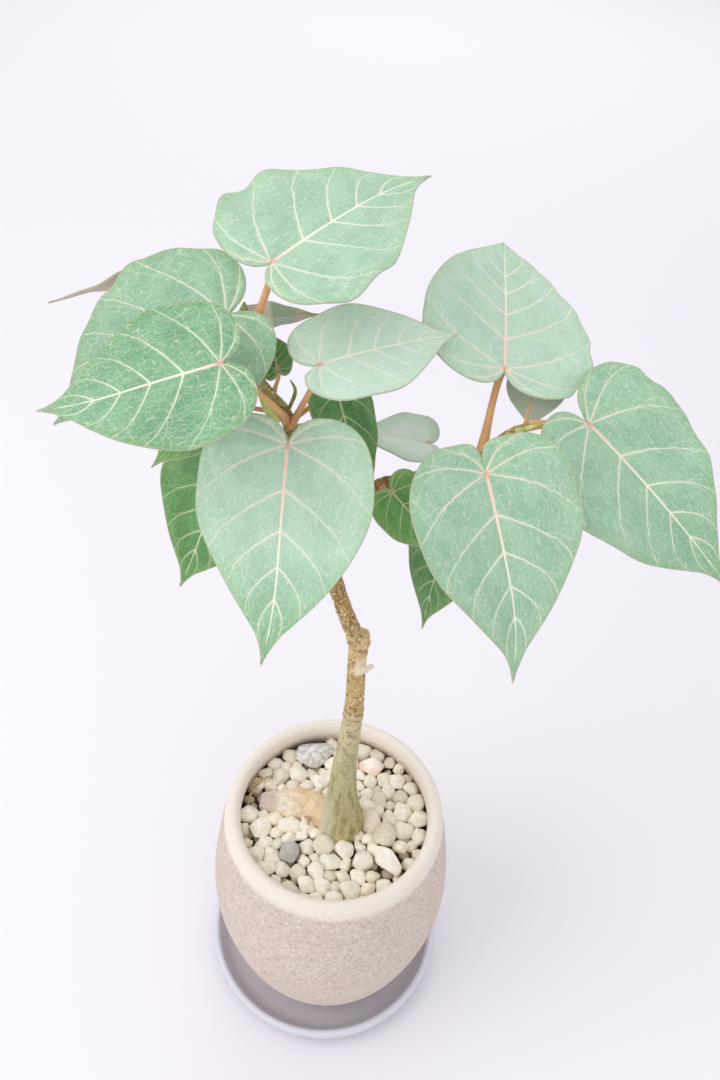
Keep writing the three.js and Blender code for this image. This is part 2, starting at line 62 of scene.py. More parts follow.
def addNode(material, kind, settings=None, sockets=None):
    node = material.node_tree.nodes.new("ShaderNode" + kind)
    for key, value in (settings or {}).items():
        if key == "stops":
            elements = node.color_ramp.elements
            for position, tone in value[2:]:
                elements.new(position)
            for element, (position, tone) in zip(elements, value):
                element.position, element.color = position, linearColour(tone)
        else:
            setattr(node, key, value)
    for key, value in (sockets or {}).items():
        plug(value, node.inputs[key])
    return node


# settings that many nodes share: colours are mixed, ranges are eased at both ends, and sums are done
colourMix = {"data_type": "RGBA"}
eased = {"interpolation_type": "SMOOTHSTEP"}
operations = ("MULTIPLY", "MULTIPLY_ADD", "SUBTRACT", "MAXIMUM", "ABSOLUTE", "PINGPONG")
times, timesPlus, minus, larger, absolute, zigzag = ({"operation": word} for word in operations)


# starts a material, and gives it back with what adds a node to it
def startMaterial(name, roughness, ior):
    material = bpy.data.materials.new(name)
    material.use_nodes = True
    surface = material.node_tree.nodes["Principled BSDF"]
    surface.inputs["Roughness"].default_value = roughness
    surface.inputs["IOR"].default_value = ior
    return material, partial(addNode, material)


# lays tones over a colour, each as far as its value has run from start to end, and within its mask
def layTones(add, colour, layers):
    for value, start, end, most, tone, *mask in layers:
        share = add("MapRange", eased, {0: value, 1: start, 2: end, 4: most})
        if mask:
            share = add("Math", times, {0: share, 1: mask[0]})
        colour = add("Mix", colourMix, {0: share, 6: colour, 7: tone})
    return colour


# gives the material its finished colour and, where there is one, a relief of this strength and depth in m
def dress(material, colour, relief=None, strength=0, depth=0):
    surface = material.node_tree.nodes["Principled BSDF"]
    plug(colour, surface.inputs["Base Color"])
    if relief:
        bump = addNode(material, "Bump", sockets={"Height": relief, "Strength": strength, "Distance": depth})
        plug(bump, surface.inputs["Normal"])
    return material


# two tones that mingle in a noise, sharply where a spread is given, with pits where they have a strength
def mottledSkin(name, tones, roughness, ior, grain, detail=3, spread=None, pits=0):
    material, add = startMaterial(name, roughness, ior)
    place = add("TexCoord").outputs["Object"]
    share = add("TexNoise", sockets={"Vector": place, "Scale": grain, "Detail": detail})
    if spread:
        share = add("MapRange", eased, {0: share, 1: spread[0], 2: spread[1]})
    colour = add("Mix", colourMix, {0: share, 6: tones[0], 7: tones[1]})
    relief = add("TexNoise", sockets={"Vector": place, "Scale": 700, "Detail": 3}) if pits else None
    return dress(material, colour, relief, pits, 0.0004)


def deselectAll():
    if bpy.context.object and bpy.context.object.mode != "OBJECT":
        bpy.ops.object.mode_set(mode="OBJECT")
    bpy.ops.object.select_all(action="DESELECT")


def pickOnly(piece):
    deselectAll()
    piece.select_set(True)
    bpy.context.view_layer.objects.active = piece


def applyPlace(piece):
    pickOnly(piece)
    bpy.ops.object.transform_apply(location=True, rotation=True, scale=True)


def applyModifier(piece, kind, **settings):
    pickOnly(piece)
    modifier = piece.modifiers.new(kind.title(), kind)
    for key, value in settings.items():
        setattr(modifier, key, value)
    bpy.ops.object.modifier_apply(modifier=modifier.name)


# edges sharper than the angle in degrees stay crisp
def smoothShade(piece, angle):
    pickOnly(piece)
    bpy.ops.object.shade_smooth_by_angle(angle=math.radians(angle))


# merges the points of the active mesh that lie within a distance in mm, and can turn its faces outwards
def mendMesh(distance, outwards):
    bpy.ops.object.mode_set(mode="EDIT")
    bpy.ops.mesh.select_all(action="SELECT")
    bpy.ops.mesh.remove_doubles(threshold=distance * mm)
    if outwards:
        bpy.ops.mesh.normals_make_consistent(inside=False)
    bpy.ops.object.mode_set(mode="OBJECT")


# shades and names the piece, gives it its material, ties it to the root body and hides the CAD node it stands
# for
def handOver(piece, angle, name, material, node=None):
    smoothShade(piece, angle)
    piece.name = name
    piece.data.name = name
    piece.data.materials.clear()
    piece.data.materials.append(material)
    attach(piece, "root")
    if node:
        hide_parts(node)


# a round body: a ring is extruded from profile point to profile point, (radius, height) in mm
def turnedBody(profile, sides):
    deselectAll()
    radius, height = profile[0]
    bpy.ops.mesh.primitive_circle_add(vertices=sides, radius=radius * mm, location=(0, 0, height * mm))
    piece = bpy.context.object
    bpy.ops.object.transform_apply(location=True, rotation=False, scale=False)
    bpy.ops.object.mode_set(mode="EDIT")
    bpy.ops.mesh.select_all(action="SELECT")
    for nextRadius, nextHeight in profile[1:]:
        bpy.ops.mesh.extrude_edges_move(TRANSFORM_OT_translate={"value": (0, 0, (nextHeight - height) * mm)})
        grow = nextRadius / radius
        bpy.ops.transform.resize(value=(grow, grow, 1), center_override=(0, 0, nextHeight * mm))
        radius, height = nextRadius, nextHeight
    bpy.ops.mesh.select_all(action="SELECT")
    bpy.ops.mesh.remove_doubles(threshold=0.01 * mm)
    bpy.ops.mesh.select_all(action="DESELECT")
    bpy.ops.mesh.select_non_manifold()
    bpy.ops.mesh.fill_holes(sides=0)
    bpy.ops.mesh.select_all(action="SELECT")
    bpy.ops.mesh.normals_make_consistent(inside=False)
    bpy.ops.object.mode_set(mode="OBJECT")
    return piece


# points in mm along a smooth curve through a few points: a centripetal spline, which never overshoots
def smoothPath(points, count):
    points = [Vector(p) for p in points]
    padded = [points[0] * 2 - points[1], *points, points[-1] * 2 - points[-2]]
    steps = [0]
    for a, b in zip(padded, padded[1:]):
        steps.append(steps[-1] + max((b - a).length, 1e-6) ** 0.5)
    result = []
    for i in range(count):
        t = i / (count - 1) * (len(points) - 1)
        k = min(int(t), len(points) - 2)
        t0, t1, t2, t3 = steps[k:k + 4]
        p0, p1, p2, p3 = padded[k:k + 4]
        u = t1 + (t - k) * (t2 - t1)
        a1 = p0.lerp(p1, (u - t0) / (t1 - t0))
        a2 = p1.lerp(p2, (u - t1) / (t2 - t1))
        a3 = p2.lerp(p3, (u - t2) / (t3 - t2))
        b1 = a1.lerp(a2, (u - t0) / (t2 - t0))
        b2 = a2.lerp(a3, (u - t1) / (t3 - t1))
        result.append(b1.lerp(b2, (u - t1) / (t2 - t1)))
    return result


# the same for a profile of (radius, height) pairs
def smoothProfile(pairs, count):
    places = smoothPath([(radius, 0, height) for radius, height in pairs], count)
    return [(place.x, place.z) for place in places]


# a round limb along points with a radius at each, made as a bevelled curve and turned to mesh
def limbAlong(points, radii, sides):
    deselectAll()
    bpy.ops.curve.primitive_nurbs_path_add()
    piece = bpy.context.object
    curve = piece.data
    curve.splines.clear()
    spline = curve.splines.new("POLY")
    spline.points.add(len(points) - 1)
    for i, point in enumerate(points):
        place = i / (len(points) - 1) * (len(radii) - 1)
        k = min(int(place), len(radii) - 2)
        spline.points[i].co = (*(point * mm), 1)
        spline.points[i].radius = radii[k] + (radii[k + 1] - radii[k]) * (place - k)
    curve.bevel_depth = mm
    curve.bevel_resolution = sides
    curve.use_fill_caps = True
    bpy.ops.object.convert(target="MESH")
    piece = bpy.context.object
    mendMesh(0.01, True)
    applyPlace(piece)
    return piece


def joinPieces(pieces):
    deselectAll()
    for piece in pieces:
        piece.select_set(True)
    bpy.context.view_layer.objects.active = pieces[0]
    if len(pieces) > 1:
        bpy.ops.object.join()
    return pieces[0]


# moves every vertex out or in along its normal by a height in mm from its place in mm
def pushSurface(piece, heightAt):
    mesh = piece.data
    places = np.empty(len(mesh.vertices) * 3)
    normals = np.empty(len(mesh.vertices) * 3)
    mesh.vertices.foreach_get("co", places)
    mesh.vertex_normals.foreach_get("vector", normals)
    places, normals = places.reshape(-1, 3), normals.reshape(-1, 3)
    heights = np.array([heightAt(Vector(place)) for place in places / mm])
    mesh.vertices.foreach_set("co", (places + normals * heights[:, None] * mm).ravel())
    mesh.update()


# camera, light and floor: places in metres, angles in degrees
cameraPlace = {"eye": (0.003, -0.276, 0.633), "pitchDown": 42.1, "roll": 4.3, "lens": 29.2}
bpy.ops.object.camera_add()
camera = bpy.context.object
camera.data.lens = cameraPlace["lens"]
camera.data.clip_start = 0.01
turn = Matrix.Rotation(math.radians(90 - cameraPlace["pitchDown"]), 4, "X")
lean = Matrix.Rotation(math.radians(cameraPlace["roll"]), 4, "Z")
camera.matrix_world = Matrix.Translation(cameraPlace["eye"]) @ turn @ lean
bpy.context.scene.camera = camera
bpy.context.scene.view_settings.view_transform = "Standard"

studio = {
    "sky": "F3F3FA", "skyStrength": 0.9, "floor": "F1EEF2",
    "lights": [
        {"name": "window", "place": (-1.3, -0.5, 1.5), "aim": (0, 0, 0.25), "size": 1.6, "power": 13,
         "colour": "FFFEFC"},
        {"name": "front fill", "place": (0.5, -1.4, 1.2), "aim": (0, 0, 0.25), "size": 1.6, "power": 3,
         "colour": "FFF9F4"},
        {"name": "far floor", "place": (0, 2.9, 1.9), "aim": (0, 2.9, 0), "size": 2.8, "power": 14,
         "colour": "FFFDFA"},
    ],
}
world = bpy.data.worlds.new("studio")
bpy.context.scene.world = world
world.use_nodes = True
sky = world.node_tree.nodes["Background"]
sky.inputs["Color"].default_value = linearColour(studio["sky"])
sky.inputs["Strength"].default_value = studio["skyStrength"]
for light in studio["lights"]:
    bpy.ops.object.light_add(type="AREA", location=light["place"])
    lamp = bpy.context.object
    lamp.name = light["name"]
    lamp.data.shape = "DISK"
    lamp.data.size = light["size"]
    lamp.data.energy = light["power"]
    lamp.data.color = linearColour(light["colour"])[:3]
    lamp.rotation_euler = (Vector(light["aim"]) - lamp.location).to_track_quat("-Z", "Y").to_euler()

deselectAll()
bpy.ops.mesh.primitive_plane_add(size=24)
floor = bpy.context.object
floor.name = "floor"
paper = startMaterial("pale studio paper", 0.9, 1.45)[0]
floor.data.materials.append(dress(paper, studio["floor"]))
print("camera, light and floor ready")


# pot: cast stone-look ceramic, sand ground into the body, so it is chalky with fine dark grains
# its profiles are (radius, height) in mm, and the ends at a radius of 1 are closed
pot = {
    "wall": [
        (46, 8), (50.5, 12.5), (56, 24), (60.6, 36), (64.5, 48), (67.9, 62), (70.4, 75), (72.4, 89),
        (72.9, 104), (71.8, 121), (69.2, 139), (66.6, 155), (65, 163), (64.1, 167.8),
    ],
    "rim": [(63.2, 170.6), (61.6, 172.3), (59.4, 173), (57.2, 172.3), (55.7, 170.4), (55.1, 167.5)],
    "inside": [(55.4, 163), (57.2, 155), (60.3, 139), (63.4, 110), (62, 75), (55, 48), (46, 24), (40, 20)],
    "steps": 84, "sides": 160, "clay": ("CBBBAC", "DACCBF"), "rimClay": "F3E9DC",
    "darkGrain": "A8947F", "paleGrain": "EFE6DC", "speck": "8A7664",
}


def sandyCeramic():
    material, add = startMaterial("cast sandstone ceramic", 0.86, 1.5)
    place = add("TexCoord").outputs["Object"]
    height = add("SeparateXYZ", sockets={0: place}).outputs["Z"]
    # cloudy patches of clay, about 15 mm across
    clouds = add("TexNoise", sockets={"Vector": place, "Scale": 70, "Detail": 4})
    colour = add("Mix", colourMix, {0: clouds, 6: pot["clay"][0], 7: pot["clay"][1]})
    # grains of sand in the body, drawn at 1.3 mm so that they show: some dark, some pale, wider than high
    flat = add("Mapping", sockets={"Vector": place, "Scale": (1, 1, 1.15)})
    grains = add("TexVoronoi", sockets={"Vector": flat, "Scale": 720})
    darkDraw, paleDraw = add("SeparateColor", sockets={0: grains.outputs["Color"]}).outputs[:2]
    colour = layTones(add, colour, [
        (darkDraw, 0.52, 1, 0.4, pot["darkGrain"]), (paleDraw, 0.6, 1, 0.45, pot["paleGrain"]),
    ])
    # dark mineral specks of up to 1.2 mm, one in most of the 3 mm cells
    cells = add("TexVoronoi", sockets={"Vector": flat, "Scale": 330})
    sizeDraw, toneDraw = add("SeparateColor", sockets={0: cells.outputs["Color"]}).outputs[:2]
    size = add("MapRange", eased, {0: sizeDraw, 1: 0.3, 4: 0.3})
    inside = add("Math", {"operation": "LESS_THAN"}, {0: cells.outputs["Distance"], 1: size})
    strength = add("MapRange", eased, {0: toneDraw, 3: 0.1, 4: 0.55})
    speck = add("Math", times, {0: inside, 1: strength})
    colour = add("Mix", colourMix, {0: speck, 6: colour, 7: pot["speck"]})
    # the rim is rubbed smooth and paler
    colour = layTones(add, colour, [(height, 0.162, 0.1685, 0.8, pot["rimClay"])])
    fine = add("TexNoise", sockets={"Vector": place, "Scale": 1100, "Detail": 3})
    return dress(material, colour, fine, 0.4, 0.0005)


potLine = smoothProfile(pot["wall"] + pot["rim"] + pot["inside"], pot["steps"])
potPiece = turnedBody([(1, 8), *potLine, (1, 20)], pot["sides"])
handOver(potPiece, 50, "potShell", sandyCeramic(), "pot")
print("pot ready")


# saucer: slip-cast ceramic with a matte blue-grey glaze, so its edges read soft and cool
saucer = {
    "profile": [
        (60.5, 0), (62.5, 0.5), (67.5, 2.2), (72.2, 4.4), (75.6, 7.4), (77.3, 11), (77.9, 14.6), (77.4, 16.7),
        (76.2, 17.8), (75, 17.9), (73.7, 17.1), (72.7, 15), (71.4, 11.4), (69, 8.8), (66.4, 7.9), (62, 7.7),
    ],
    "steps": 60, "sides": 160,
    # the floor's glaze colour is painted shade of the pot, darker and greyer than the walls
    "place": (-2, 5), "wallGlaze": ("C9C8D4", "D5D4DE"), "paintedShadeGlaze": "BDB8BE", "rimGlaze": "E0E0E8",
}


def glazedClay():
    material, add = startMaterial("matte glazed earthenware", 0.62, 1.5)
    place = add("TexCoord").outputs["Object"]
    height = add("SeparateXYZ", sockets={0: place}).outputs["Z"]
    # the glaze pools and thins over some 25 mm and pales at the rim; below 11.5 mm, on the floor and the foot
    # of the outer wall, it is painted darker and greyer: painted shade of the pot
    pools = add("TexNoise", sockets={"Vector": place, "Scale": 40, "Detail": 3})
    colour = add("Mix", colourMix, {0: pools, 6: saucer["wallGlaze"][0], 7: saucer["wallGlaze"][1]})
    colour = layTones(add, colour, [
        (height, 0.0115, 0.0082, 1, saucer["paintedShadeGlaze"]), (height, 0.0145, 0.0178, 0.5, saucer["rimGlaze"]),
    ])
    pits = add("TexNoise", sockets={"Vector": place, "Scale": 500, "Detail": 2})
    return dress(material, colour, pits, 0.15, 0.0003)


saucerLine = smoothProfile(saucer["profile"], saucer["steps"])
saucerPiece = turnedBody([(1, 0), *saucerLine, (1, 7.7)], saucer["sides"])
saucerPiece.location = (saucer["place"][0] * mm, saucer["place"][1] * mm, 0)
applyPlace(saucerPiece)
handOver(saucerPiece, 50, "saucerDish", glazedClay(), "saucer")
print("saucer ready")


# soil: loose potting mix with bark bits, near black where it shows between the pebbles
soil = {
    "profile": [(1, 21), (44, 26), (53, 48), (60, 90), (58, 137), (56, 153), (54, 154.2), (1, 154.6)],
    "sides": 72, "tones": ("2E241C", "66543F"),
}


def pottingMix():
    material, add = startMaterial("potting soil", 0.95, 1.4)
    place = add("TexCoord").outputs["Object"]
    crumbs = add("TexVoronoi", sockets={"Vector": place, "Scale": 450})
    colour = add("Mix", colourMix, {0: crumbs, 6: soil["tones"][0], 7: soil["tones"][1]})
    return dress(material, colour, crumbs, 0.8, 0.001)


soilPiece = turnedBody(soil["profile"], soil["sides"])
handOver(soilPiece, 40, "soilFill", pottingMix(), "soil")


# trunk: living fig stem, thin cracked bark over green, swollen and wrinkled at the foot
trunk = {
    "limbs": {
        "stem": {"steps": 110, "sides": 6, "path": [
            (3.6, -2, 138), (3.6, -2, 150), (4.2, -2, 160), (4.2, -1.6, 170), (3.8, -1, 182),
            (3.6, -0.6, 196), (3.8, 0, 210), (4.4, 0, 227), (5.4, 0, 245), (6.2, 0, 262),
            (6.4, 0, 278), (6.1, 0, 293), (6, 0, 308), (6.6, 0, 319), (7.4, 0, 325.5),
        ], "radii": [9, 12.6, 14, 12, 9.6, 8, 6.9, 6.2, 5.6, 5, 4.8, 4.6, 4.6, 4.9, 3.6]},
        "shoot": {"steps": 80, "sides": 6, "path": [
            (5.4, 0, 312), (4.6, 0, 321), (0.8, 0, 332), (-3.2, 0, 345), (-7.4, 0, 360), (-15, 1, 388),
            (-23, 2, 412), (-29, 4.5, 441.5), (-35.8, 6.3, 449.7), (-41, 9, 457), (-43, 13, 474),
        ], "radii": [3.8, 4.3, 3.9, 3.7, 3.8, 3.8, 3.5, 2.7, 2.1, 1.9, 1.8]},
        "branch": {"steps": 50, "sides": 5, "path": [
            (-9, 0, 368), (-3, 0, 392), (4, 0, 408), (11, 0, 415), (19, 0, 417), (32, 0, 425), (47, 1, 432),
            (58, 3, 442), (67, 4, 446),
        ], "radii": [3, 2.8, 2.8, 2.9, 2.5, 2.3, 2.3, 2, 1.6]},
        "root lobe": {"steps": 24, "sides": 6, "radii": [10, 11, 10.6, 9.6, 5.8],
         "path": [(6, -1, 153), (-6, 3.6, 155), (-18, 7, 155.8), (-30, 8, 155.8), (-45, 9, 155)]},
        "stub": {"steps": 8, "sides": 4, "radii": [2.3, 1.7, 1.3],
         "path": [(4.6, -3.6, 300.6), (8.6, -5, 303.4), (14, -4.4, 307.4)]},
        "snag under the stub": {"steps": 8, "sides": 4, "radii": [1.8, 1.4, 0.6],
         "path": [(5.4, -4, 300), (5.4, -5.2, 296), (5.8, -4.8, 292)]},
        "scar on the shoot": {"steps": 8, "sides": 4, "radii": [1.8, 0.9],
         "path": [(-5, 0, 350), (-7, -4.2, 352.5)]},
        "scar on the stem": {"steps": 8, "sides": 4, "radii": [2.6, 1.2],
         "path": [(1.4, -2, 226), (0.2, -4, 229)]},
    },
    "voxel": 0.6,
    "ringCracks": (267, 262.4),
    "heights": (0.15, 0.48),
    "ground": [
        (0, "C3B98C"), (0.1, "B7AF80"), (0.2, "BDB78F"), (0.33, "C9C4A6"), (0.355, "BFA774"),
        (0.46, "C2A770"), (0.5, "D2B984"), (0.53, "D2B984"), (0.56, "A98857"), (0.7, "9C7B4C"),
        (0.83, "AD8355"), (0.89, "A59B66"), (1, "A2A878"),
    ],
    "patch": "735836", "gold": "DDB976", "mossy": "8B8C4E", "fleck": "F3E9CF", "crack": "6E5836",
    "ashy": "D2CAB4", "tear": "8F7058", "stub": "EBDDC6", "stubPlace": (0.0115, -0.006, 0.305),
    "greyPaper": "CFC1B6", "yellowPaper": "E9C68F",
    "lobePaper": [(0.3, "D3B7A2"), (0.42, "E6D6C4"), (0.52, "F2E7D4"), (0.6, "EED2A6"), (0.72, "DDBCA4")],
}


def clamp(value):
    return min(1, max(0, value))


# height in mm of the bark at a place in mm: ridged at the foot, crumbly on the wood, peeling on the lobe
def trunkRelief(place):
    x, y, z = place
    foot = max(0, 1 - abs(z - 162) / 44)
    woody = clamp((z - 178) / 25) * clamp((430 - z) / 40)
    knee = max(0, 1 - abs(z - 322) / 12)
    angle = math.atan2(y + 2, x - 5)
    ridges = 1.1 * foot * noise.noise(Vector((3.4 * math.cos(angle), 3.4 * math.sin(angle), z * 0.03)))
    crumbs = 0.3 * noise.noise(place * 0.55) + 0.2 * noise.noise(place * 1.3)
    bark = (0.35 + 0.65 * woody + 0.9 * knee) * crumbs
    rings = 0.25 * woody * noise.noise(Vector((0.08 * x, 0.08 * y, z * 0.4)))
    lips = sum(0.45 * math.exp(-((z - height - 0.12 * x + 1.6) / 0.9) ** 2) for height in trunk["ringCracks"])
    lobe = clamp((-7 - x) / 4) * clamp((190 - z) / 6)
    peeling = 1.5 * noise.noise(place * 0.2) + 0.9 * abs(noise.noise(place * 0.5))
    return ridges + bark + rings + lips + lobe * peeling


# living bark: dull and dry, so it takes no sheen; brown and cracked above the knee, greener to the foot
def figBark():
    material, add = startMaterial("young fig bark", 0.88, 1.45)
    place = add("TexCoord").outputs["Object"]
    across, depth, height = add("SeparateXYZ", sockets={0: place}).outputs
    low, high = trunk["heights"]
    climb = add("MapRange", sockets={0: height, 1: low, 2: high, 3: -0.03, 4: 0.97})
    # noises by scale and detail: grains under 1 mm, flecks of 1 mm, and what makes the bands wander
    grains, flecks, wander = (
        add("TexNoise", sockets={"Vector": place, "Scale": scale, "Detail": detail})
        for scale, detail in ((1000, 2), (700, 3), (160, 3))
    )
    uneven = add("Math", timesPlus, {0: wander, 1: 0.06, 2: climb})
    colour = add("ValToRGB", {"stops": trunk["ground"]}, {0: uneven})
    # the foot is streaked along its length with green, 2 mm wide and 12 mm long
    along = add("Mapping", sockets={"Vector": place, "Scale": (1, 1, 0.2)})
    streaks = add("TexNoise", sockets={"Vector": along, "Scale": 260, "Detail": 5})
    atFoot = add("MapRange", eased, {0: height, 1: 0.25, 2: 0.19, 3: 0.15, 4: 1})
    # dark broken bark in 3 mm patches, with golden grains and pale flecks over it
    patches = add("TexNoise", sockets={"Vector": place, "Scale": 300, "Detail": 6, "Roughness": 0.7})
    woody = add("MapRange", eased, {0: height, 1: 0.205, 2: 0.275, 3: 0.3, 4: 1})
    goldShare = add("Math", times, {0: woody, 1: 0.75})
    colour = layTones(add, colour, [
        (streaks, 0.45, 0.6, 0.85, trunk["mossy"], atFoot),
        (patches, 0.5, 0.58, 0.8, trunk["patch"], woody),
        (grains, 0.5, 0.6, goldShare, trunk["gold"]),
        (flecks, 0.58, 0.66, goldShare, trunk["fleck"]),
    ])
    # two ring cracks where the bark has split, each a wavering line that rises to the right
    slope = add("Math", timesPlus, {0: across, 1: -0.12, 2: height})
    level = add("Math", timesPlus, {0: wander, 1: 0.006, 2: slope})
    for crack in trunk["ringCracks"]:
        gap = add("Math", minus, {0: level, 1: (crack + 2.1) * mm})
        near = add("Math", absolute, {0: gap})
        colour = layTones(add, colour, [(near, 0.0007, 0.0002, 0.6, trunk["crack"])])
    # the stub of a lost twig has weathered pale, and the foot's left side is ashy
    offStub = add("VectorMath", {"operation": "DISTANCE"}, {0: place, 1: trunk["stubPlace"]})
    lowDown = add("MapRange", eased, {0: height, 1: 0.205, 2: 0.18})
    colour = layTones(add, colour, [
        (offStub.outputs["Value"], 0.008, 0.0055, 0.85, trunk["stub"]),
        (across, 0.004, -0.006, 0.8, trunk["ashy"], lowDown),
    ])
    # the root lobe beyond it has peeled to cream and pink paper, yellower at the foot and grey at its end
    beyond = add("MapRange", eased, {0: across, 1: -0.004, 2: -0.011})
    onLobe = add("Math", times, {0: beyond, 1: lowDown})
    peel = add("TexNoise", sockets={"Vector": place, "Scale": 110, "Detail": 6, "Distortion": 0.6})
    paper = add("ValToRGB", {"stops": trunk["lobePaper"]}, {0: peel})
    paper = layTones(add, paper, [
        (across, -0.03, -0.016, 0.5, trunk["yellowPaper"]), (across, -0.03, -0.04, 0.65, trunk["greyPaper"]),
    ])
    colour = add("Mix", colourMix, {0: onLobe, 6: colour, 7: paper})
    # thin brown tears in the paper
    tears = add("TexNoise", sockets={"Vector": place, "Scale": 260, "Detail": 4, "Distortion": 1.2})
    middle = add("Math", minus, {0: tears, 1: 0.5})
    near = add("Math", absolute, {0: middle})
    colour = layTones(add, colour, [(near, 0.012, 0.003, 0.6, trunk["tear"], onLobe)])
    return dress(material, colour, patches, 0.7, 0.0011)


trunkPiece = joinPieces([
    limbAlong(smoothPath(limb["path"], limb["steps"]), limb["radii"], limb["sides"])
    for limb in trunk["limbs"].values()
])
applyModifier(trunkPiece, "REMESH", mode="VOXEL", voxel_size=trunk["voxel"] * mm)
applyModifier(trunkPiece, "SMOOTH", factor=0.5, iterations=4)
pushSurface(trunkPiece, trunkRelief)
handOver(trunkPiece, 180, "figTrunk", figBark(), "trunk")
print("trunk ready", len(trunkPiece.data.polygons))
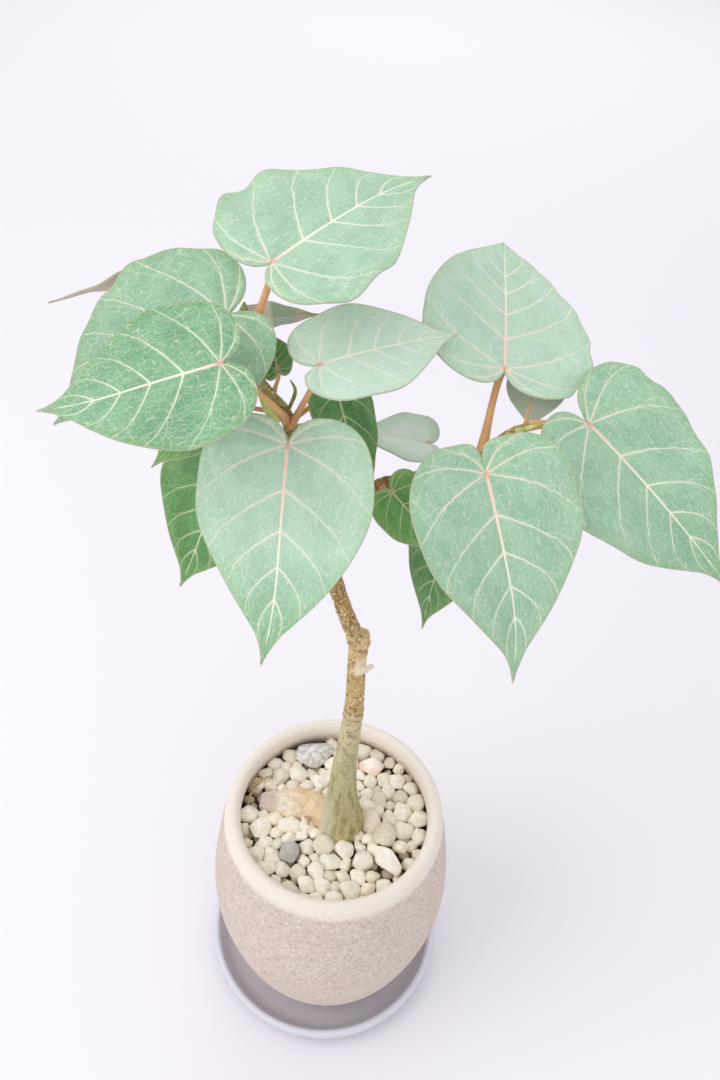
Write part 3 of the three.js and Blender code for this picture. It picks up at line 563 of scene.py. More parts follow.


# leaves: the same formula as the CAD blades, on a finer grid, with the veins mapped over it
# angles are in degrees and lengths in mm, pink is how far the veins are pink, and depth darkens the green
# above 1 and lightens it below 1: partly the leaf's own green and partly painted shade and painted light, set
# leaf by leaf for the light each gets, with more painted shade towards the tip, and painted light there where
# the tip's share is negative
flatLeaf = {
    "turn": 0, "twist": 0, "phase": 0, "waves": 2.2, "wave": 0.8, "fold": 0.06, "bend": 0.08, "lobe": 0.15,
    "scallop": 0, "blunt": 0, "tight": 0, "dents": [], "bow": (0, 0, 0.3), "look": "mint", "depth": 1,
    "tipShade": 0, "pink": 9, "slot": "leaf",
}
leaves = [
    dict(name="top", at=(-35, 14, 498), heading=43, pitch=20, roll=11, length=74, width=70, lobe=0.12,
         bend=0.12, turn=-0.05, fold=0.1, wave=2, waves=3.2, phase=0.1, root=(-42, 12, 470), stalk=1.5,
         scallop=0.035, depth=1.12, pink=12),
    dict(name="upper_left", at=(-51.5, 11, 478), heading=201.7, pitch=-24, roll=-34, length=77, width=65,
         lobe=0.17, bend=0.13, turn=0.02, twist=-0.5, wave=1.3, phase=0.4, root=(-42, 9.5, 465), stalk=1.2,
         scallop=-0.035, depth=1.34),
    dict(name="left_front", at=(-48, -22, 478), heading=198, pitch=-12, roll=-24, length=63, width=57,
         bend=0.06, turn=-0.06, fold=0.02, wave=1, waves=2, phase=0.2, root=(-28.5, 3.5, 439),
         bow=(0.6, -0.6, 0.2), stalk=1.1, depth=1.85, tipShade=-0.35),
    dict(name="middle", at=(-16, -3, 469), heading=24, pitch=10, roll=8, length=55, width=47, bend=0.12,
         fold=0.09, twist=0.3, waves=2, phase=0.5, root=(-27, 3, 437), bow=(0, -0.4, 0.2), stalk=1.3,
         depth=0.66, pink=5),
    dict(name="centre_front", at=(-26, -16, 442), heading=-92, pitch=-50, roll=12, length=83, width=69,
         lobe=0.13, bend=0.06, turn=-0.05, fold=0.03, wave=1.2, waves=2.5, root=(-25, 3, 422), stalk=1.5,
         depth=0.94, tipShade=0.8, pink=42),
    dict(name="tip_left_low", at=(-55, 12, 440), heading=215, pitch=-30, roll=-10, length=38, width=32,
         root=(-28, 5, 440), stalk=1, phase=0.3, look="bright"),
    dict(name="young_left", at=(-32.1, 4.5, 461.6), heading=108, pitch=28, roll=-30, length=16, width=14,
         lobe=0.26, wave=0.4, root=(-34, 7, 448), stalk=0.8, look="dark", slot="young_leaf"),
    dict(name="dark_middle", at=(-10, 12, 448), heading=-62, pitch=-42, roll=-18, length=46, width=32,
         lobe=0.14, twist=-0.2, wave=0.6, phase=0.2, root=(-27, 4, 439), stalk=1, look="dark",
         slot="young_leaf"),
    dict(name="small_pale", at=(28, 16, 425), heading=182, pitch=7, roll=-3, length=32, width=32, lobe=0.14,
         bend=0.04, fold=0.14, twist=0.1, wave=0.5, phase=0.1, root=(27, 0, 422), stalk=0.9,
         look="paleCentre", depth=0.5),
    dict(name="small_bright", at=(14, -14, 422), heading=-22, pitch=-40, roll=15, length=32, width=29,
         fold=0.01, wave=0.6, phase=0.4, root=(10, 0, 414), stalk=0.9, look="bright", slot="young_leaf",
         depth=0.9),
    dict(name="dark_lower_left", at=(-52, 9, 417), heading=230, pitch=-58, roll=-7, length=65, width=55,
         lobe=0.14, bend=0.1, turn=-0.04, twist=-0.2, wave=1, phase=0.2, root=(-22, 2, 408), stalk=1.2,
         look="dark", slot="young_leaf", depth=0.98),
    dict(name="behind_centre", at=(-11, 21, 418), heading=-52, pitch=-76, roll=0, length=54, width=40,
         wave=0.6, phase=0.1, root=(-27, 5, 434), bow=(0, 1, 0.5), stalk=0.8, look="dark",
         slot="young_leaf"),
    dict(name="low_right", at=(41, 4, 395), heading=-118, pitch=-64, roll=24, length=52, width=42,
         lobe=0.14, phase=0.5, root=(32, 0, 424), stalk=1, look="dark", slot="young_leaf", depth=1.02),
    dict(name="right_front", at=(44.6, -34.6, 449.8), heading=-65, pitch=-43, roll=1, length=73, width=65,
         lobe=0.16, bend=0.13, turn=-0.07, fold=0.13, twist=-0.2, wave=1.1, waves=2.5, phase=0.3,
         root=(41, 1, 429), stalk=1.5, depth=1.26, pink=28, tight=1),
    dict(name="far_right", at=(86.4, 4.2, 447.6), heading=-27, pitch=-31, roll=16, length=86, width=76,
         lobe=0.16, bend=0.11, fold=0.16, twist=0.2, wave=2.4, root=(64, 4, 445), stalk=1.5, scallop=0.03,
         depth=1.3, tipShade=0.25, pink=30, dents=[(1, 0.36, 0.03, 0.14, 0.1)]),
    dict(name="right_upper", at=(53.6, 21.5, 458.6), heading=87.5, pitch=21, roll=15, length=73, width=72,
         bend=0.1, fold=0.13, wave=1.3, waves=2.5, phase=0.6, root=(47.5, 2, 432.5), stalk=1.6,
         scallop=-0.05, blunt=0.5, depth=0.84, pink=38, dents=[(-1, 0.57, 0.03, 0.04, 0.1)]),
    dict(name="under_right", at=(69.1, 30.5, 450.2), heading=-99, pitch=-39, roll=180, length=21, width=24,
         lobe=0.12, bend=-0.1, fold=-0.1, wave=0.5, phase=0.2, root=(62, 4, 444), stalk=0.4,
         look="paleCentre", slot="young_leaf"),
    dict(name="far_left_edge", at=(-77.8, 45, 478), heading=206, pitch=-8, roll=32, length=49, width=38,
         bend=0.01, wave=1.6, phase=0.3, root=(-42.5, 13, 467), bow=(-0.4, 1, -0.2), stalk=0.9,
         look="edgeOn"),
    dict(name="young_behind", at=(-46, 25, 469.5), heading=9, pitch=4, roll=-54, length=28, width=21,
         lobe=0.1, bend=0, fold=0.1, wave=0.6, phase=0.2, root=(-40, 10, 458), bow=(-1, 0.6, 0.8),
         stalk=0.8, look="olive", slot="young_leaf"),
]
leaves = [{**flatLeaf, **leaf} for leaf in leaves]
leafLooks = {
    "mint": {"blade": "AFD2B6", "shade": "A3C8AC", "edge": "A6CBA2", "vein": "F5F5DC", "rib": "FAD4C4"},
    "dark": {"blade": "5F9656", "shade": "4A8042", "edge": "66984F", "vein": "D2DEB0", "rib": "DCD3AA",
             "gloss": 0.45, "net": 0.5, "veinShare": 0.85},
    "bright": {"blade": "639E4D", "shade": "4B873B", "edge": "76AC56", "vein": "DDE5AC", "rib": "E2DDB0",
               "gloss": 0.35, "net": 0.45},
    "paleCentre": {"blade": "C8E0C8", "shade": "BAD6BB", "edge": "6C9E6C", "vein": "F0EEDE", "rib": "E9CDBB",
                   "gloss": 0.45, "net": 0.6, "edgeReach": 9},
    "olive": {"blade": "A4BC95", "shade": "92AC80", "edge": "9AA86C", "vein": "DEDDBB", "rib": "DCB598",
              "net": 0.6, "underVein": "D9D3BC", "under": [(0, "E2DAC4"), (0.3, "E2DAC4"), (0.36, "9DB596"),
                                                           (0.62, "93AC8C"), (0.7, "B9AF96"), (1, "82876A")]},
}
leafLooks["edgeOn"] = {**leafLooks["olive"], "under": [(0, "93AE74"), (0.35, "A8AA7E"), (1, "BFAF96")]}
anyLook = {"joint": "DDAA8C", "rim": "B5AB8E", "edgeReach": 5, "veinShare": 0.95, "gloss": 0.55, "net": 1,
           "under": [(0, "B4C4B2"), (1, "B4C4B2")], "underVein": "DCC6B8"}
# the rows that meet the margin at these shares of the outline, from the back lobe to the tip: rows 1 to 7
# have a side vein
veinRows = [0.0, 0.11, 0.235, 0.4, 0.535, 0.64, 0.735, 0.82, 0.9, 1.0]
lastVein = 7
# up to this share of the outline a row starts at the joint, and over the rest it starts along the midrib
jointRow, midribRows = 0.42, 0.58
bladeThickness = 0.6  # mm


# heart-shaped half outline of unit length and half width; a blunt leaf keeps its width almost to the tip
def outlineOf(w, lobe, blunt, tight):
    stops = [0, 0.15, jointRow, 0.85, 1]
    shoulder = (0.84 + 0.05 * blunt, 0.17 + 0.27 * blunt)
    pieces = [
        [(0, 0), (-(0.6 + 0.5 * tight) * lobe, 0.03 - 0.04 * tight),
         (-lobe, 0.16 - 0.06 * tight), (-lobe, 0.4)],
        [(-lobe, 0.4), (-lobe, 0.74), (-0.02, 1), (0.2, 1)],
        [(0.2, 1), (0.45 + 0.05 * blunt, 1), (0.66 + 0.12 * blunt, 0.55 + 0.25 * blunt), shoulder],
        [shoulder, (0.9 + 0.04 * blunt, 0.07 + 0.2 * blunt),
         (0.95 + 0.03 * blunt, 0.03 + 0.11 * blunt), (1, 0)],
    ]
    x, y = np.zeros((2, len(w)))
    for k, piece in enumerate(pieces):
        here = (w >= stops[k]) & (w <= stops[k + 1])
        t = np.clip((w - stops[k]) / (stops[k + 1] - stops[k]), 0, 1)
        for target, (a, b, c, d) in zip((x, y), zip(*piece)):
            value = (1 - t) ** 3 * a + 3 * (1 - t) ** 2 * t * b + 3 * (1 - t) * t * t * c + t ** 3 * d
            target[here] = value[here]
    return x, y


# how the values of (a, b) change along a and along b
def slopesOf(values, a, b, step):
    return (
        (values(a + step, b) - values(a - step, b)) / (2 * step),
        (values(a, b + step) - values(a, b - step)) / (2 * step),
    )


# the share of the midrib at which a row w starts
def footOf(w):
    return np.clip((w - jointRow) / midribRows, 0, None)


# flat place in mm of the row w at v from midrib to margin
def leafPlan(leaf, w, v):
    foot = footOf(w)
    edgeX, edgeY = outlineOf(np.clip(w, 0, 1), leaf["lobe"], leaf["blunt"], leaf["tight"])
    edgeY = edgeY * (1 - abs(leaf["scallop"]) * np.sin(w * 26) ** 2 * (v * leaf["scallop"] > 0))
    for side, start, width, depth, beyond in leaf["dents"]:
        dent = depth * np.exp(-((w - start) / width) ** 2) + beyond * np.clip((w - start) / 0.04, 0, 1)
        edgeY = edgeY * (1 - dent * (v * side > 0))
    return np.array([(foot + (edgeX - foot) * np.abs(v)) * leaf["length"], edgeY * v * leaf["width"] / 2])


# height of the blade above its own plane: it arches, folds along the midrib, twists and waves
def bladeLift(leaf, x, y):
    half, length = leaf["width"] / 2, leaf["length"]
    s, t = x / length, y / half
    arch = np.where(s > 0, -leaf["bend"] * length * s * s, 0.6 * leaf["bend"] * length * s * s)
    fold = leaf["fold"] * (np.sqrt(y * y + 1) - 1)
    swing = 2 * math.pi * (leaf["waves"] * s + leaf["phase"]) + np.where(y > 0, 0, 2)
    return arch + fold + leaf["twist"] * y * s + leaf["wave"] * t * t * np.sin(swing)


# the leaf's own axes: along the midrib, across it, and out of its upper face
def bladeAxes(leaf):
    heading, pitch, roll = (math.radians(leaf[key]) for key in ("heading", "pitch", "roll"))
    east, north, level, rise = math.cos(heading), math.sin(heading), math.cos(pitch), math.sin(pitch)
    along = Vector((level * east, level * north, rise))
    up = Vector((-rise * east, -rise * north, level))
    side = up.cross(along)
    across = side * math.cos(roll) + up * math.sin(roll)
    out = up * math.cos(roll) - side * math.sin(roll)
    return along, across, out


# places in mm of flat points, raised by so much out of the blade
def bladePlaces(leaf, x, y, raised):
    lift = bladeLift(leaf, x, y)
    slopeX, slopeY = slopesOf(partial(bladeLift, leaf), x, y, 0.5)
    size = np.sqrt(1 + slopeX ** 2 + slopeY ** 2)
    tip = np.clip((x / leaf["length"] - 0.55) / 0.45, 0, None)
    along, across, out = (np.array(axis) for axis in bladeAxes(leaf))
    a = x - raised * slopeX / size
    b = y + leaf["turn"] * leaf["length"] * tip ** 2 - raised * slopeY / size
    c = lift + raised / size
    return np.array(leaf["at"]) + np.outer(a, along) + np.outer(b, across) + np.outer(c, out)


# vein number at a place: whole numbers lie on a side vein, which sweeps towards the tip as it runs out
def veinNumber(w, v):
    swept = w - 0.05 * np.abs(v) ** 2 - 0.05 * np.clip(np.abs(v) - 0.72, 0, 1)
    return np.interp(swept, [-0.2, *veinRows, 1.2], [-2, *range(len(veinRows)), len(veinRows) + 1])


# the looped veins that join the side veins inside the margin
def loopLine(number):
    return 0.9 - 0.13 * np.abs(np.cos(math.pi * number)) ** 1.5


# a blade as a fine grid laid out over the leaf, which carries what its skin needs to draw the veins:
# how far a point is from the midrib, a side vein, a loop and the margin
def makeBlade(leaf):
    large = leaf["length"] > 50
    rows, columns = (112, 56) if large else (64, 32)
    deselectAll()
    bpy.ops.mesh.primitive_grid_add(x_subdivisions=rows, y_subdivisions=columns, size=2)
    piece = bpy.context.object
    mesh = piece.data
    flat = np.array([vertex.co[:] for vertex in mesh.vertices])
    w, v = (flat[:, 0] + 1) / 2, flat[:, 1]
    x, y = leafPlan(leaf, w, v)
    # slopes of the plan, from which every distance in mm to a vein or to the margin follows
    inner = np.clip(np.abs(v), 0.02, 1) * np.where(v < 0, -1, 1)
    wIn = np.clip(w, 0.004, 0.996)
    (xw, yw), (xv, yv) = slopesOf(partial(leafPlan, leaf), wIn, inner, 1e-3)
    det = xw * yv - xv * yw
    det = np.where(np.abs(det) < 1, np.where(det < 0, -1, 1), det)
    gradW = np.stack([yv, -xv]) / det
    gradV = np.stack([-yw, xw]) / det
    number = veinNumber(w, v)
    numberW, numberV = slopesOf(veinNumber, wIn, inner, 1e-3)
    spread = 1 / np.maximum(np.linalg.norm(gradW * numberW + gradV * numberV, axis=0), 1e-3)
    perV = 1 / np.maximum(np.linalg.norm(gradV, axis=0), 1e-3)
    # gaps are counted in half widths of a vein, which thin outwards and are finer on a small leaf
    fine = min(1, max(0.42, leaf["length"] / 72))
    outward = np.abs(v)
    sideHalf = fine * (0.36 - 0.24 * outward) * np.interp(number, [1, 3, 6], [1.1, 1, 0.8])
    ribHalf = fine * (0.72 - 0.56 * np.clip(x / leaf["length"], 0, 1))
    counted = np.where((number > 0.5) & (number < lastVein + 0.5), spread / sideHalf, 99)
    farOff = 9  # further than any vein is drawn
    ribGap = np.where(x > -0.4, np.abs(y) / ribHalf, farOff)
    loopHere = (number > 0.4) & (number < lastVein + 0.5)
    loopGap = np.where(loopHere, (outward - loopLine(number)) * perV / (0.17 * fine), farOff)
    rimGap = (1 - outward) * perV
    forkHere = (outward > 0.55) & (outward < 0.9) & (number < lastVein - 0.5)
    forkShift = np.where(forkHere, 0.7 * (outward - 0.55) * counted, -farOff)
    rung = np.hypot(x - footOf(w) * leaf["length"], y)
    # depth of green: the leaf's own green with painted shade and painted light, and painted shade that grows
    # towards the tip
    depth = leaf["depth"] + leaf["tipShade"] * np.clip((x / leaf["length"] - 0.45) / 0.55, 0, 1)
    ribPink = np.clip(1.15 - np.hypot(x, y) / leaf["pink"], 0, 1)
    # the blade swells a little between its side veins
    swell = 0.32 if large else 0.18
    puff = swell * (np.sin(math.pi * number) ** 2) * np.clip(outward * 3, 0, 1)
    puff *= np.clip((1 - outward) * 4, 0, 1)
    groove = -0.3 * np.exp(-(y / 1.3) ** 2) * np.clip(1 - x / leaf["length"], 0, 1)
    places = bladePlaces(leaf, x, y, (puff + groove) * (1 if large else 0.6))
    mesh.vertices.foreach_set("co", (places * mm).ravel())
    for name, values in (
        ("leafVeins", (number - 0.1 * outward, counted, 0.2 * outward)),
        ("leafPlan", (x, y, rung)),
        ("leafGaps", (ribGap, loopGap, rimGap)),
        ("leafMood", (depth, ribPink, forkShift)),
    ):
        layer = mesh.attributes.new(name, "FLOAT_VECTOR", "POINT")
        layer.data.foreach_set("vector", np.stack(values, 1).ravel())
    mendMesh(0.004, False)
    out = bladeAxes(leaf)[2]
    if sum(polygon.normal.dot(out) for polygon in mesh.polygons) < 0:
        mesh.flip_normals()
    piece.vertex_groups.new(name="underside")
    applyModifier(piece, "SOLIDIFY", thickness=bladeThickness * mm, offset=0, shell_vertex_group="underside")
    return piece


# a living fig leaf: waxy, so it has a soft sheen, with sharp cream veins that start out pink
def leafSkin(name, look):
    material, add = startMaterial(name, look["gloss"], 1.42)
    veins, plan, gaps, mood = (
        add("Attribute", {"attribute_name": title}).outputs["Vector"]
        for title in ("leafVeins", "leafPlan", "leafGaps", "leafMood")
    )
    number, spread, swing = add("SeparateXYZ", sockets={0: veins}).outputs
    ribGap, loopGap, rimGap = add("SeparateXYZ", sockets={0: gaps}).outputs
    depth, ribPink, forkShift = add("SeparateXYZ", sockets={0: mood}).outputs
    lengthwise, sideways, rung = add("SeparateXYZ", sockets={0: plan}).outputs
    # noises by scale and detail: what pulls the veins about, breaks the rungs, clouds the green and blooms
    wobble, dashes, cloud, bloom = (
        add("TexNoise", sockets={"Vector": plan, "Scale": scale, "Detail": detail})
        for scale, detail in ((0.22, 3), (0.3, 2), (0.09, 4), (1.5, 3))
    )
    # side veins, counted out from their rows; past the middle of the blade each sends out a fork
    numberHere = add("Math", timesPlus, {0: wobble, 1: swing, 2: number})
    offRow = add("Math", zigzag, {0: numberHere, 1: 0.5})
    sideGap = add("Math", times, {0: offRow, 1: spread})
    pastFork = add("Math", minus, {0: sideGap, 1: forkShift})
    forkGap, loopSize = (add("Math", absolute, {0: gap}) for gap in (pastFork, loopGap))
    side, midrib, fork, loop = (
        add("MapRange", eased, {0: gap, 1: start, 2: end, 4: most})
        for gap, start, end, most in (
            (sideGap, 1.35, 0.65, 1), (ribGap, 1.25, 0.75, 1),
            (forkGap, 0.9, 0.3, 0.45), (loopSize, 1.1, 0.3, 0.3),
        )
    )
    # rungs from one side vein to the next, some 2.4 mm apart and broken into dashes
    uneven = add("Math", timesPlus, {0: wobble, 1: 7, 2: rung})
    rungGap = add("Math", zigzag, {0: uneven, 1: 1.2})
    dashShare = add("MapRange", eased, {0: dashes, 1: 0.4, 2: 0.56, 4: 0.42 * look["net"]})
    rungLine = add("MapRange", eased, {0: rungGap, 1: 0.22, 2: 0.05, 4: dashShare})
    # the net of fine veins in cells of 5 mm and 2 mm, pulled about so that it isn't regular
    pulled = add("VectorMath", timesPlus, {0: wobble.outputs["Color"], 1: (5, 5, 0), 2: plan})
    thin = add("Math", larger, {0: rungLine, 1: loop})
    thin = add("Math", larger, {0: thin, 1: fork})
    for cell, strength in ((5.2, 0.26), (2, 0.13)):
        web = add("TexVoronoi", {"feature": "DISTANCE_TO_EDGE", "voronoi_dimensions": "2D"}, {
            "Vector": pulled, "Scale": 1 / cell,
        })
        line = add("MapRange", eased, {0: web, 1: 0.2 / cell, 2: 0.05 / cell, 4: strength * look["net"]})
        thin = add("Math", larger, {0: thin, 1: line})
    # ground: cloudy green with a waxy bloom in fine grains, a little fresher towards the margin
    colour = layTones(add, look["shade"], [
        (cloud, 0.35, 0.65, 1, look["blade"]),
        (rimGap, look["edgeReach"], 0.5, 0.6, look["edge"]),
        (bloom, 0.52, 0.66, 0.11, look["vein"]),
        (bloom, 0.46, 0.34, 0.35, look["shade"]),
        # beside a vein the blade is paler
        (sideGap, 4.5, 1, 0.2, look["vein"]),
    ])
    # each leaf's green is darkened or lightened by its depth: partly its own green and partly painted shade
    # and painted light, with painted shade growing towards the tip
    colour = add("Gamma", sockets={0: colour, 1: depth})
    colour = add("Mix", colourMix, {0: thin, 6: colour, 7: look["vein"]})
    sidePink = add("Math", times, {0: ribPink, 1: 0.6})
    sideTone = add("Mix", colourMix, {0: sidePink, 6: look["vein"], 7: look["rib"]})
    fading = add("Math", timesPlus, {0: swing, 1: -2, 2: look["veinShare"]})
    sideShare = add("Math", times, {0: side, 1: fading})
    colour = add("Mix", colourMix, {0: sideShare, 6: colour, 7: sideTone})
    ribTone = add("Mix", colourMix, {0: ribPink, 6: look["vein"], 7: look["rib"]})
    colour = add("Mix", colourMix, {0: midrib, 6: colour, 7: ribTone})
    # the joint is tan, and the margin has a thin brownish rim
    reach = add("VectorMath", {"operation": "LENGTH"}, {0: plan}).outputs["Value"]
    colour = layTones(add, colour, [
        (reach, 2.4, 1, 0.6, look["joint"]), (rimGap, 0.6, 0.25, 0.5, look["rim"]),
    ])
    # the underside is paler and duller, and its veins stand out
    below = add("Attribute", {"attribute_name": "underside"}).outputs["Fac"]
    main = add("Math", larger, {0: side, 1: midrib})
    share = add("Math", {"operation": "DIVIDE"}, {0: lengthwise, 1: 28})
    belowGround = add("ValToRGB", {"stops": look["under"]}, {0: share})
    belowTone = add("Mix", colourMix, {0: main, 6: belowGround, 7: look["underVein"]})
    colour = add("Mix", colourMix, {0: below, 6: colour, 7: belowTone})
    sunken = add("Math", timesPlus, {0: main, 1: -1.2, 2: cloud})
    return dress(material, colour, sunken, 0.45, 0.00025)


skins = {look: leafSkin(f"fig leaf {look}", {**anyLook, **values}) for look, values in leafLooks.items()}
for leaf in leaves:
    name = leaf["name"]
    handOver(makeBlade(leaf), 70, "blade_" + name, skins[leaf["look"]], "leaf_" + name)


# stalks: smooth living leaf stalks, orange-tan, thicker where they leave the stem and meet the blade
stalkLook = {"tones": ("CF8E55", "E8BC8B"), "steps": 20, "swell": [1.5, 1.2, 1, 0.92, 0.9, 0.95, 1.1]}


def makeStalk(leaf):
    along, across, out = bladeAxes(leaf)
    arrive = (along * 0.55 + out * 0.83).normalized()
    end = Vector(bladePlaces(leaf, np.array([2.0]), np.array([0.0]), np.array([0.0]))[0])
    end -= out * (0.55 * leaf["stalk"])
    root = Vector(leaf["root"])
    reach = (end - root).length
    leave = ((end - root).normalized() + Vector(leaf["bow"])).normalized()
    c1 = root + leave * reach * 0.35
    c2 = end - arrive * reach * 0.35
    points = []
    for i in range(stalkLook["steps"]):
        t = i / (stalkLook["steps"] - 1)
        u = 1 - t
        points.append(root * u ** 3 + c1 * 3 * u ** 2 * t + c2 * 3 * u * t * t + end * t ** 3)
    return limbAlong(points, [leaf["stalk"] * share for share in stalkLook["swell"]], 4)


stalkMaterial = mottledSkin("fig leaf stalk", stalkLook["tones"], 0.5, 1.42, 160)
for leaf in leaves:
    name = leaf["name"]
    handOver(makeStalk(leaf), 60, "petiole_" + name, stalkMaterial, "stalk_" + name)
print("stalks ready")


# buds and sheaths: rolled young growth, smooth and yellow-green, papery at the base
buds = [
    {"node": "bud_left", "path": [(-43.6, 13.6, 472), (-45.2, 13.6, 478), (-45, 13.4, 482.5)],
     "radii": [1.3, 1.7, 1.5, 0.4], "tones": ("6E7F42", "8C9A58")},
    {"node": "bud_right", "path": [(58, 3, 442), (62.5, 0, 446.5), (68.5, -1, 450)],
     "radii": [0.7, 0.9, 0.7, 0.25], "tones": ("A9BB50", "D6D893")},
    {"node": "sheath_left", "path": [(-30.6, -1.2, 442.8), (-34.6, -2.2, 447.8), (-39.8, 1.4, 455.4)],
     "radii": [1.4, 2.6, 2.2, 1.2, 0.5], "tones": ("A9BC45", "DDE08C")},
    {"node": "stipule_left", "path": [(-28, 6, 443), (-26, 10, 449), (-28, 11, 453)],
     "radii": [0.7, 0.8, 0.6, 0.2], "tones": ("7F9448", "A9B86E")},
]
for bud in buds:
    piece = limbAlong(smoothPath(bud["path"], 14), bud["radii"], 4)
    skin = mottledSkin("rolled fig bud", bud["tones"], 0.42, 1.42, 300, spread=(0.4, 0.6))
    handOver(piece, 60, "growth_" + bud["node"], skin, bud["node"])
print("buds ready")


# radians that set each pebble apart from the last, as seeds are in a flower's head
goldenAngle = 2.39996

# pebbles: crushed and tumbled limestone, chalky cream with dust in its pits, each stone a little different
# keepOut holds the discs, (x, y, radius) in mm, that the trunk and its root lobe fill
gravel = {
    "seed": 23, "reach": 57, "bedTop": 156.4, "count": 108, "halves": (3.5, 6.6), "shapes": 12,
    "start": 50, "pushes": 400, "flats": 9, "tries": 200, "edge": 17,
    "lowerCount": 230, "lowerHalves": (2.6, 3.8), "lowerShapes": 6, "lowerDrop": 1.2,
    "keepOut": [(3.6, -2, 12.6), (-8, 4.6, 10), (-18, 7, 9.6), (-28, 8, 9.4), (-38, 8.5, 8.6), (-46, 9, 7)],
    "dust": "D4C8B0", "tones": [
        # the first, darkest stop is painted shade, used only by the lower stones between the upper ones
        (0, "AB9D84"), (0.12, "DED5C0"), (0.4, "EFE7D5"), (0.7, "F9F2E3"), (0.88, "F3E8D3"), (1, "EEE0CC"),
    ],
}
stones = [
    {"node": "stone_grey_speckled", "at": (-16.5, 42.5, 160.5), "halves": (11.8, 8.6, 6.6), "turn": 0.1,
     "slot": "grey_stone", "tones": ("C4C0BA", "E8E3DC"), "grain": 330},
    {"node": "stone_slate", "at": (-24, -24, 160.5), "halves": (6, 6.5, 5), "turn": 0.4,
     "slot": "slate_stone", "tones": ("B0ABA4", "C0BBB3"), "grain": 300},
    {"node": "stone_white", "at": (33, -26, 161), "halves": (10.4, 5.8, 5), "turn": -0.7,
     "slot": "white_stone", "tones": ("F4ECDF", "FFFAF0"), "grain": 300, "edge": 12},
    {"node": "stone_beige", "at": (31, -9, 161), "halves": (7.5, 8, 5.5), "turn": 0.3,
     "slot": "beige_stone", "tones": ("D6CBB0", "E3DAC3"), "grain": 420},
    {"node": "stone_pink_white", "at": (21, 37, 160.5), "halves": (7.5, 7, 5.5), "turn": 0,
     "slot": "pink_stone", "tones": ("EDD3BE", "FBF5EC"), "grain": 80},
]


def creamGravel():
    material, add = startMaterial("tumbled cream gravel", 0.88, 1.5)
    place = add("TexCoord").outputs["Object"]
    own = add("Attribute", {"attribute_name": "stoneTone"}).outputs["Fac"]
    colour = add("ValToRGB", {"stops": gravel["tones"]}, {0: own})
    dust = add("TexNoise", sockets={"Vector": place, "Scale": 380, "Detail": 5})
    colour = layTones(add, colour, [(dust, 0.42, 0.68, 0.4, gravel["dust"])])
    return dress(material, colour, dust, 0.35, 0.0004)


# one rounded-angular stone of unit half length: a ball pressed against flat faces; a higher edge is crisper
def stoneShape(rng, subdivisions, edge):
    deselectAll()
    bpy.ops.mesh.primitive_ico_sphere_add(subdivisions=subdivisions, radius=1)
    piece = bpy.context.object
    flats = []
    for i in range(gravel["tries"]):
        normal = Vector((rng.uniform(-1, 1), rng.uniform(-1, 1), rng.uniform(-1, 1))).normalized()
        if len(flats) < gravel["flats"] and all(normal.dot(other) < 0.6 for other, reach in flats):
            flats.append((normal, rng.uniform(0.72, 0.92)))
    for vertex in piece.data.vertices:
        outward = vertex.co.normalized()
        press = sum((max(0, outward.dot(normal)) / reach) ** edge for normal, reach in flats)
        vertex.co = outward * min(1.12, press ** (-1 / edge))
    return piece


# pebble places: discs that are pushed apart until they lie side by side
def settlePebbles(rng):
    low, high = gravel["halves"]
    sizes = [low + (high - low) * rng.random() ** 1.3 for i in range(gravel["count"])]
    fixed = gravel["keepOut"] + [(*stone["at"][:2], max(stone["halves"][:2]) * 0.92) for stone in stones]
    count = len(sizes)
    radii = np.array(sizes + [spot[2] for spot in fixed])
    places = np.zeros((len(radii), 2))
    for i in range(count):
        ring = gravel["start"] * math.sqrt((i + 0.5) / count)
        angle = i * goldenAngle + rng.uniform(-0.3, 0.3)
        places[i] = (ring * math.cos(angle), ring * math.sin(angle))
    places[count:] = [spot[:2] for spot in fixed]
    for i in range(gravel["pushes"]):
        gaps = places[:, None] - places[None]
        apart = np.maximum(np.hypot(gaps[..., 0], gaps[..., 1]), 1e-6)
        overlap = np.clip((radii[:, None] + radii[None]) * 0.95 - apart, 0, None)
        np.fill_diagonal(overlap, 0)
        push = (gaps / apart[..., None] * overlap[..., None] * 0.3).sum(1)
        places[:count] += push[:count]
        rings = np.hypot(places[:count, 0], places[:count, 1])
        limit = gravel["reach"] - radii[:count] * 0.98
        places[:count] *= np.minimum(1, limit / np.maximum(rings, 1e-6))[:, None]
    return [(x, y, size) for (x, y), size in zip(places[:count].tolist(), sizes)]


# a turn by a random angle about each of the axes
def randomTurn(rng, low, high, axes):
    turn = Matrix.Identity(4)
    for axis in axes:
        turn = turn @ Matrix.Rotation(rng.uniform(low, high), 4, axis)
    return turn


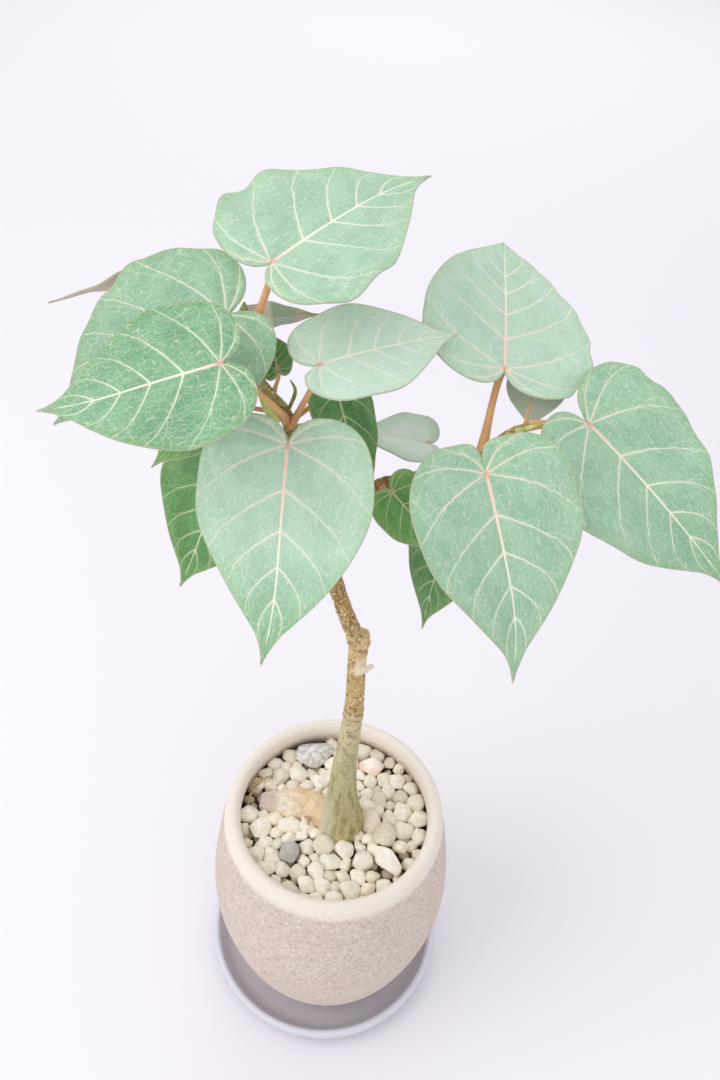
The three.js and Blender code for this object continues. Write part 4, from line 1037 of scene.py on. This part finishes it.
def scatterPebbles():
    rng = random.Random(gravel["seed"])
    shapes = [stoneShape(rng, 3, gravel["edge"]) for i in range(gravel["shapes"])]
    lowerShapes = [stoneShape(rng, 2, gravel["edge"]) for i in range(gravel["lowerShapes"])]
    bedTop = gravel["bedTop"]
    pebbles = [
        (x, y, size, bedTop + rng.uniform(0.15, 0.5) * size, shapes) for x, y, size in settlePebbles(rng)
    ]
    # a lower layer of smaller stones fills what shows between them
    for i in range(gravel["lowerCount"]):
        ring = (gravel["reach"] - 3.6) * math.sqrt((i + 0.5) / gravel["lowerCount"])
        x, y = ring * math.cos(i * goldenAngle), ring * math.sin(i * goldenAngle)
        size = rng.uniform(*gravel["lowerHalves"])
        pebbles.append((x, y, size, bedTop - gravel["lowerDrop"], lowerShapes))
    copies = []
    for x, y, size, height, kinds in pebbles:
        copy = rng.choice(kinds).copy()
        copy.data = copy.data.copy()
        bpy.context.collection.objects.link(copy)
        tilt = randomTurn(rng, -0.4, 0.4, "XY")
        shares = [rng.uniform(low, high) for low, high in ((1, 1.22), (0.86, 1.02), (0.68, 0.84))]
        halves = Matrix.Diagonal((*(size * share for share in shares), 1))
        spin = randomTurn(rng, 0, math.pi, "Z")
        face = randomTurn(rng, 0, math.pi, "XY")
        place = Matrix.Scale(mm, 4) @ Matrix.Translation((x, y, height))
        copy.data.transform(place @ tilt @ spin @ halves @ face)
        # the darkest tones go to the lower stones: painted shade in the gaps between the upper ones
        tone = copy.data.attributes.new("stoneTone", "FLOAT", "POINT")
        value = 0.12 + 0.88 * rng.random() if kinds is shapes else 0.06 * rng.random()
        tone.data.foreach_set("value", [value] * len(copy.data.vertices))
        copies.append(copy)
    for shape in shapes + lowerShapes:
        bpy.data.objects.remove(shape)
    return joinPieces(copies)


pebblePiece = scatterPebbles()
handOver(pebblePiece, 45, "pebbles", creamGravel(), "gravel")

# the single stones: dry river stones that scatter the light and have no highlight
for index, stone in enumerate(stones):
    node = stone["node"]
    piece = stoneShape(random.Random(40 + index), 4, stone.get("edge", 7))
    halves = Matrix.Diagonal((*stone["halves"], 1))
    turn = Matrix.Rotation(stone["turn"], 4, "Z")
    piece.data.transform(Matrix.Scale(mm, 4) @ Matrix.Translation(stone["at"]) @ turn @ halves)
    title = node.replace("_", " ")
    skin = mottledSkin(title, stone["tones"], 0.85, 1.5, stone["grain"], 4, (0.38, 0.62), 0.3)
    handOver(piece, 180, "found_" + node, skin, node)
print("pebbles and stones ready", len(pebblePiece.data.polygons))


# dry twigs that lie on the gravel by the left wall
twigs = [
    {"path": [(-50, 14, 162), (-45, 19, 165), (-38, 24, 164)], "radii": [0.5, 0.6, 0.3]},
    {"path": [(-52, 8, 162), (-50, 14, 165), (-46, 22, 164)], "radii": [0.4, 0.5, 0.3]},
    {"path": [(-52, 2, 161), (-51, 8, 164), (-47, 13, 165)], "radii": [0.5, 0.5, 0.4]},
    {"path": [(-53, 12, 161), (-50, 18, 164.4), (-49, 23, 163)], "radii": [0.4, 0.4, 0.3]},
    {"path": [(-17, -3, 163), (-15, -5, 165), (-14.6, -8, 163)], "radii": [0.8, 1.2, 0.5]},
]
twigPiece = joinPieces([limbAlong(smoothPath(twig["path"], 8), twig["radii"], 2) for twig in twigs])
straw = mottledSkin("dry straw", ("8D6A48", "CDB182"), 0.7, 1.45, 400)
handOver(twigPiece, 60, "dryTwigs", straw)
print("twigs ready")
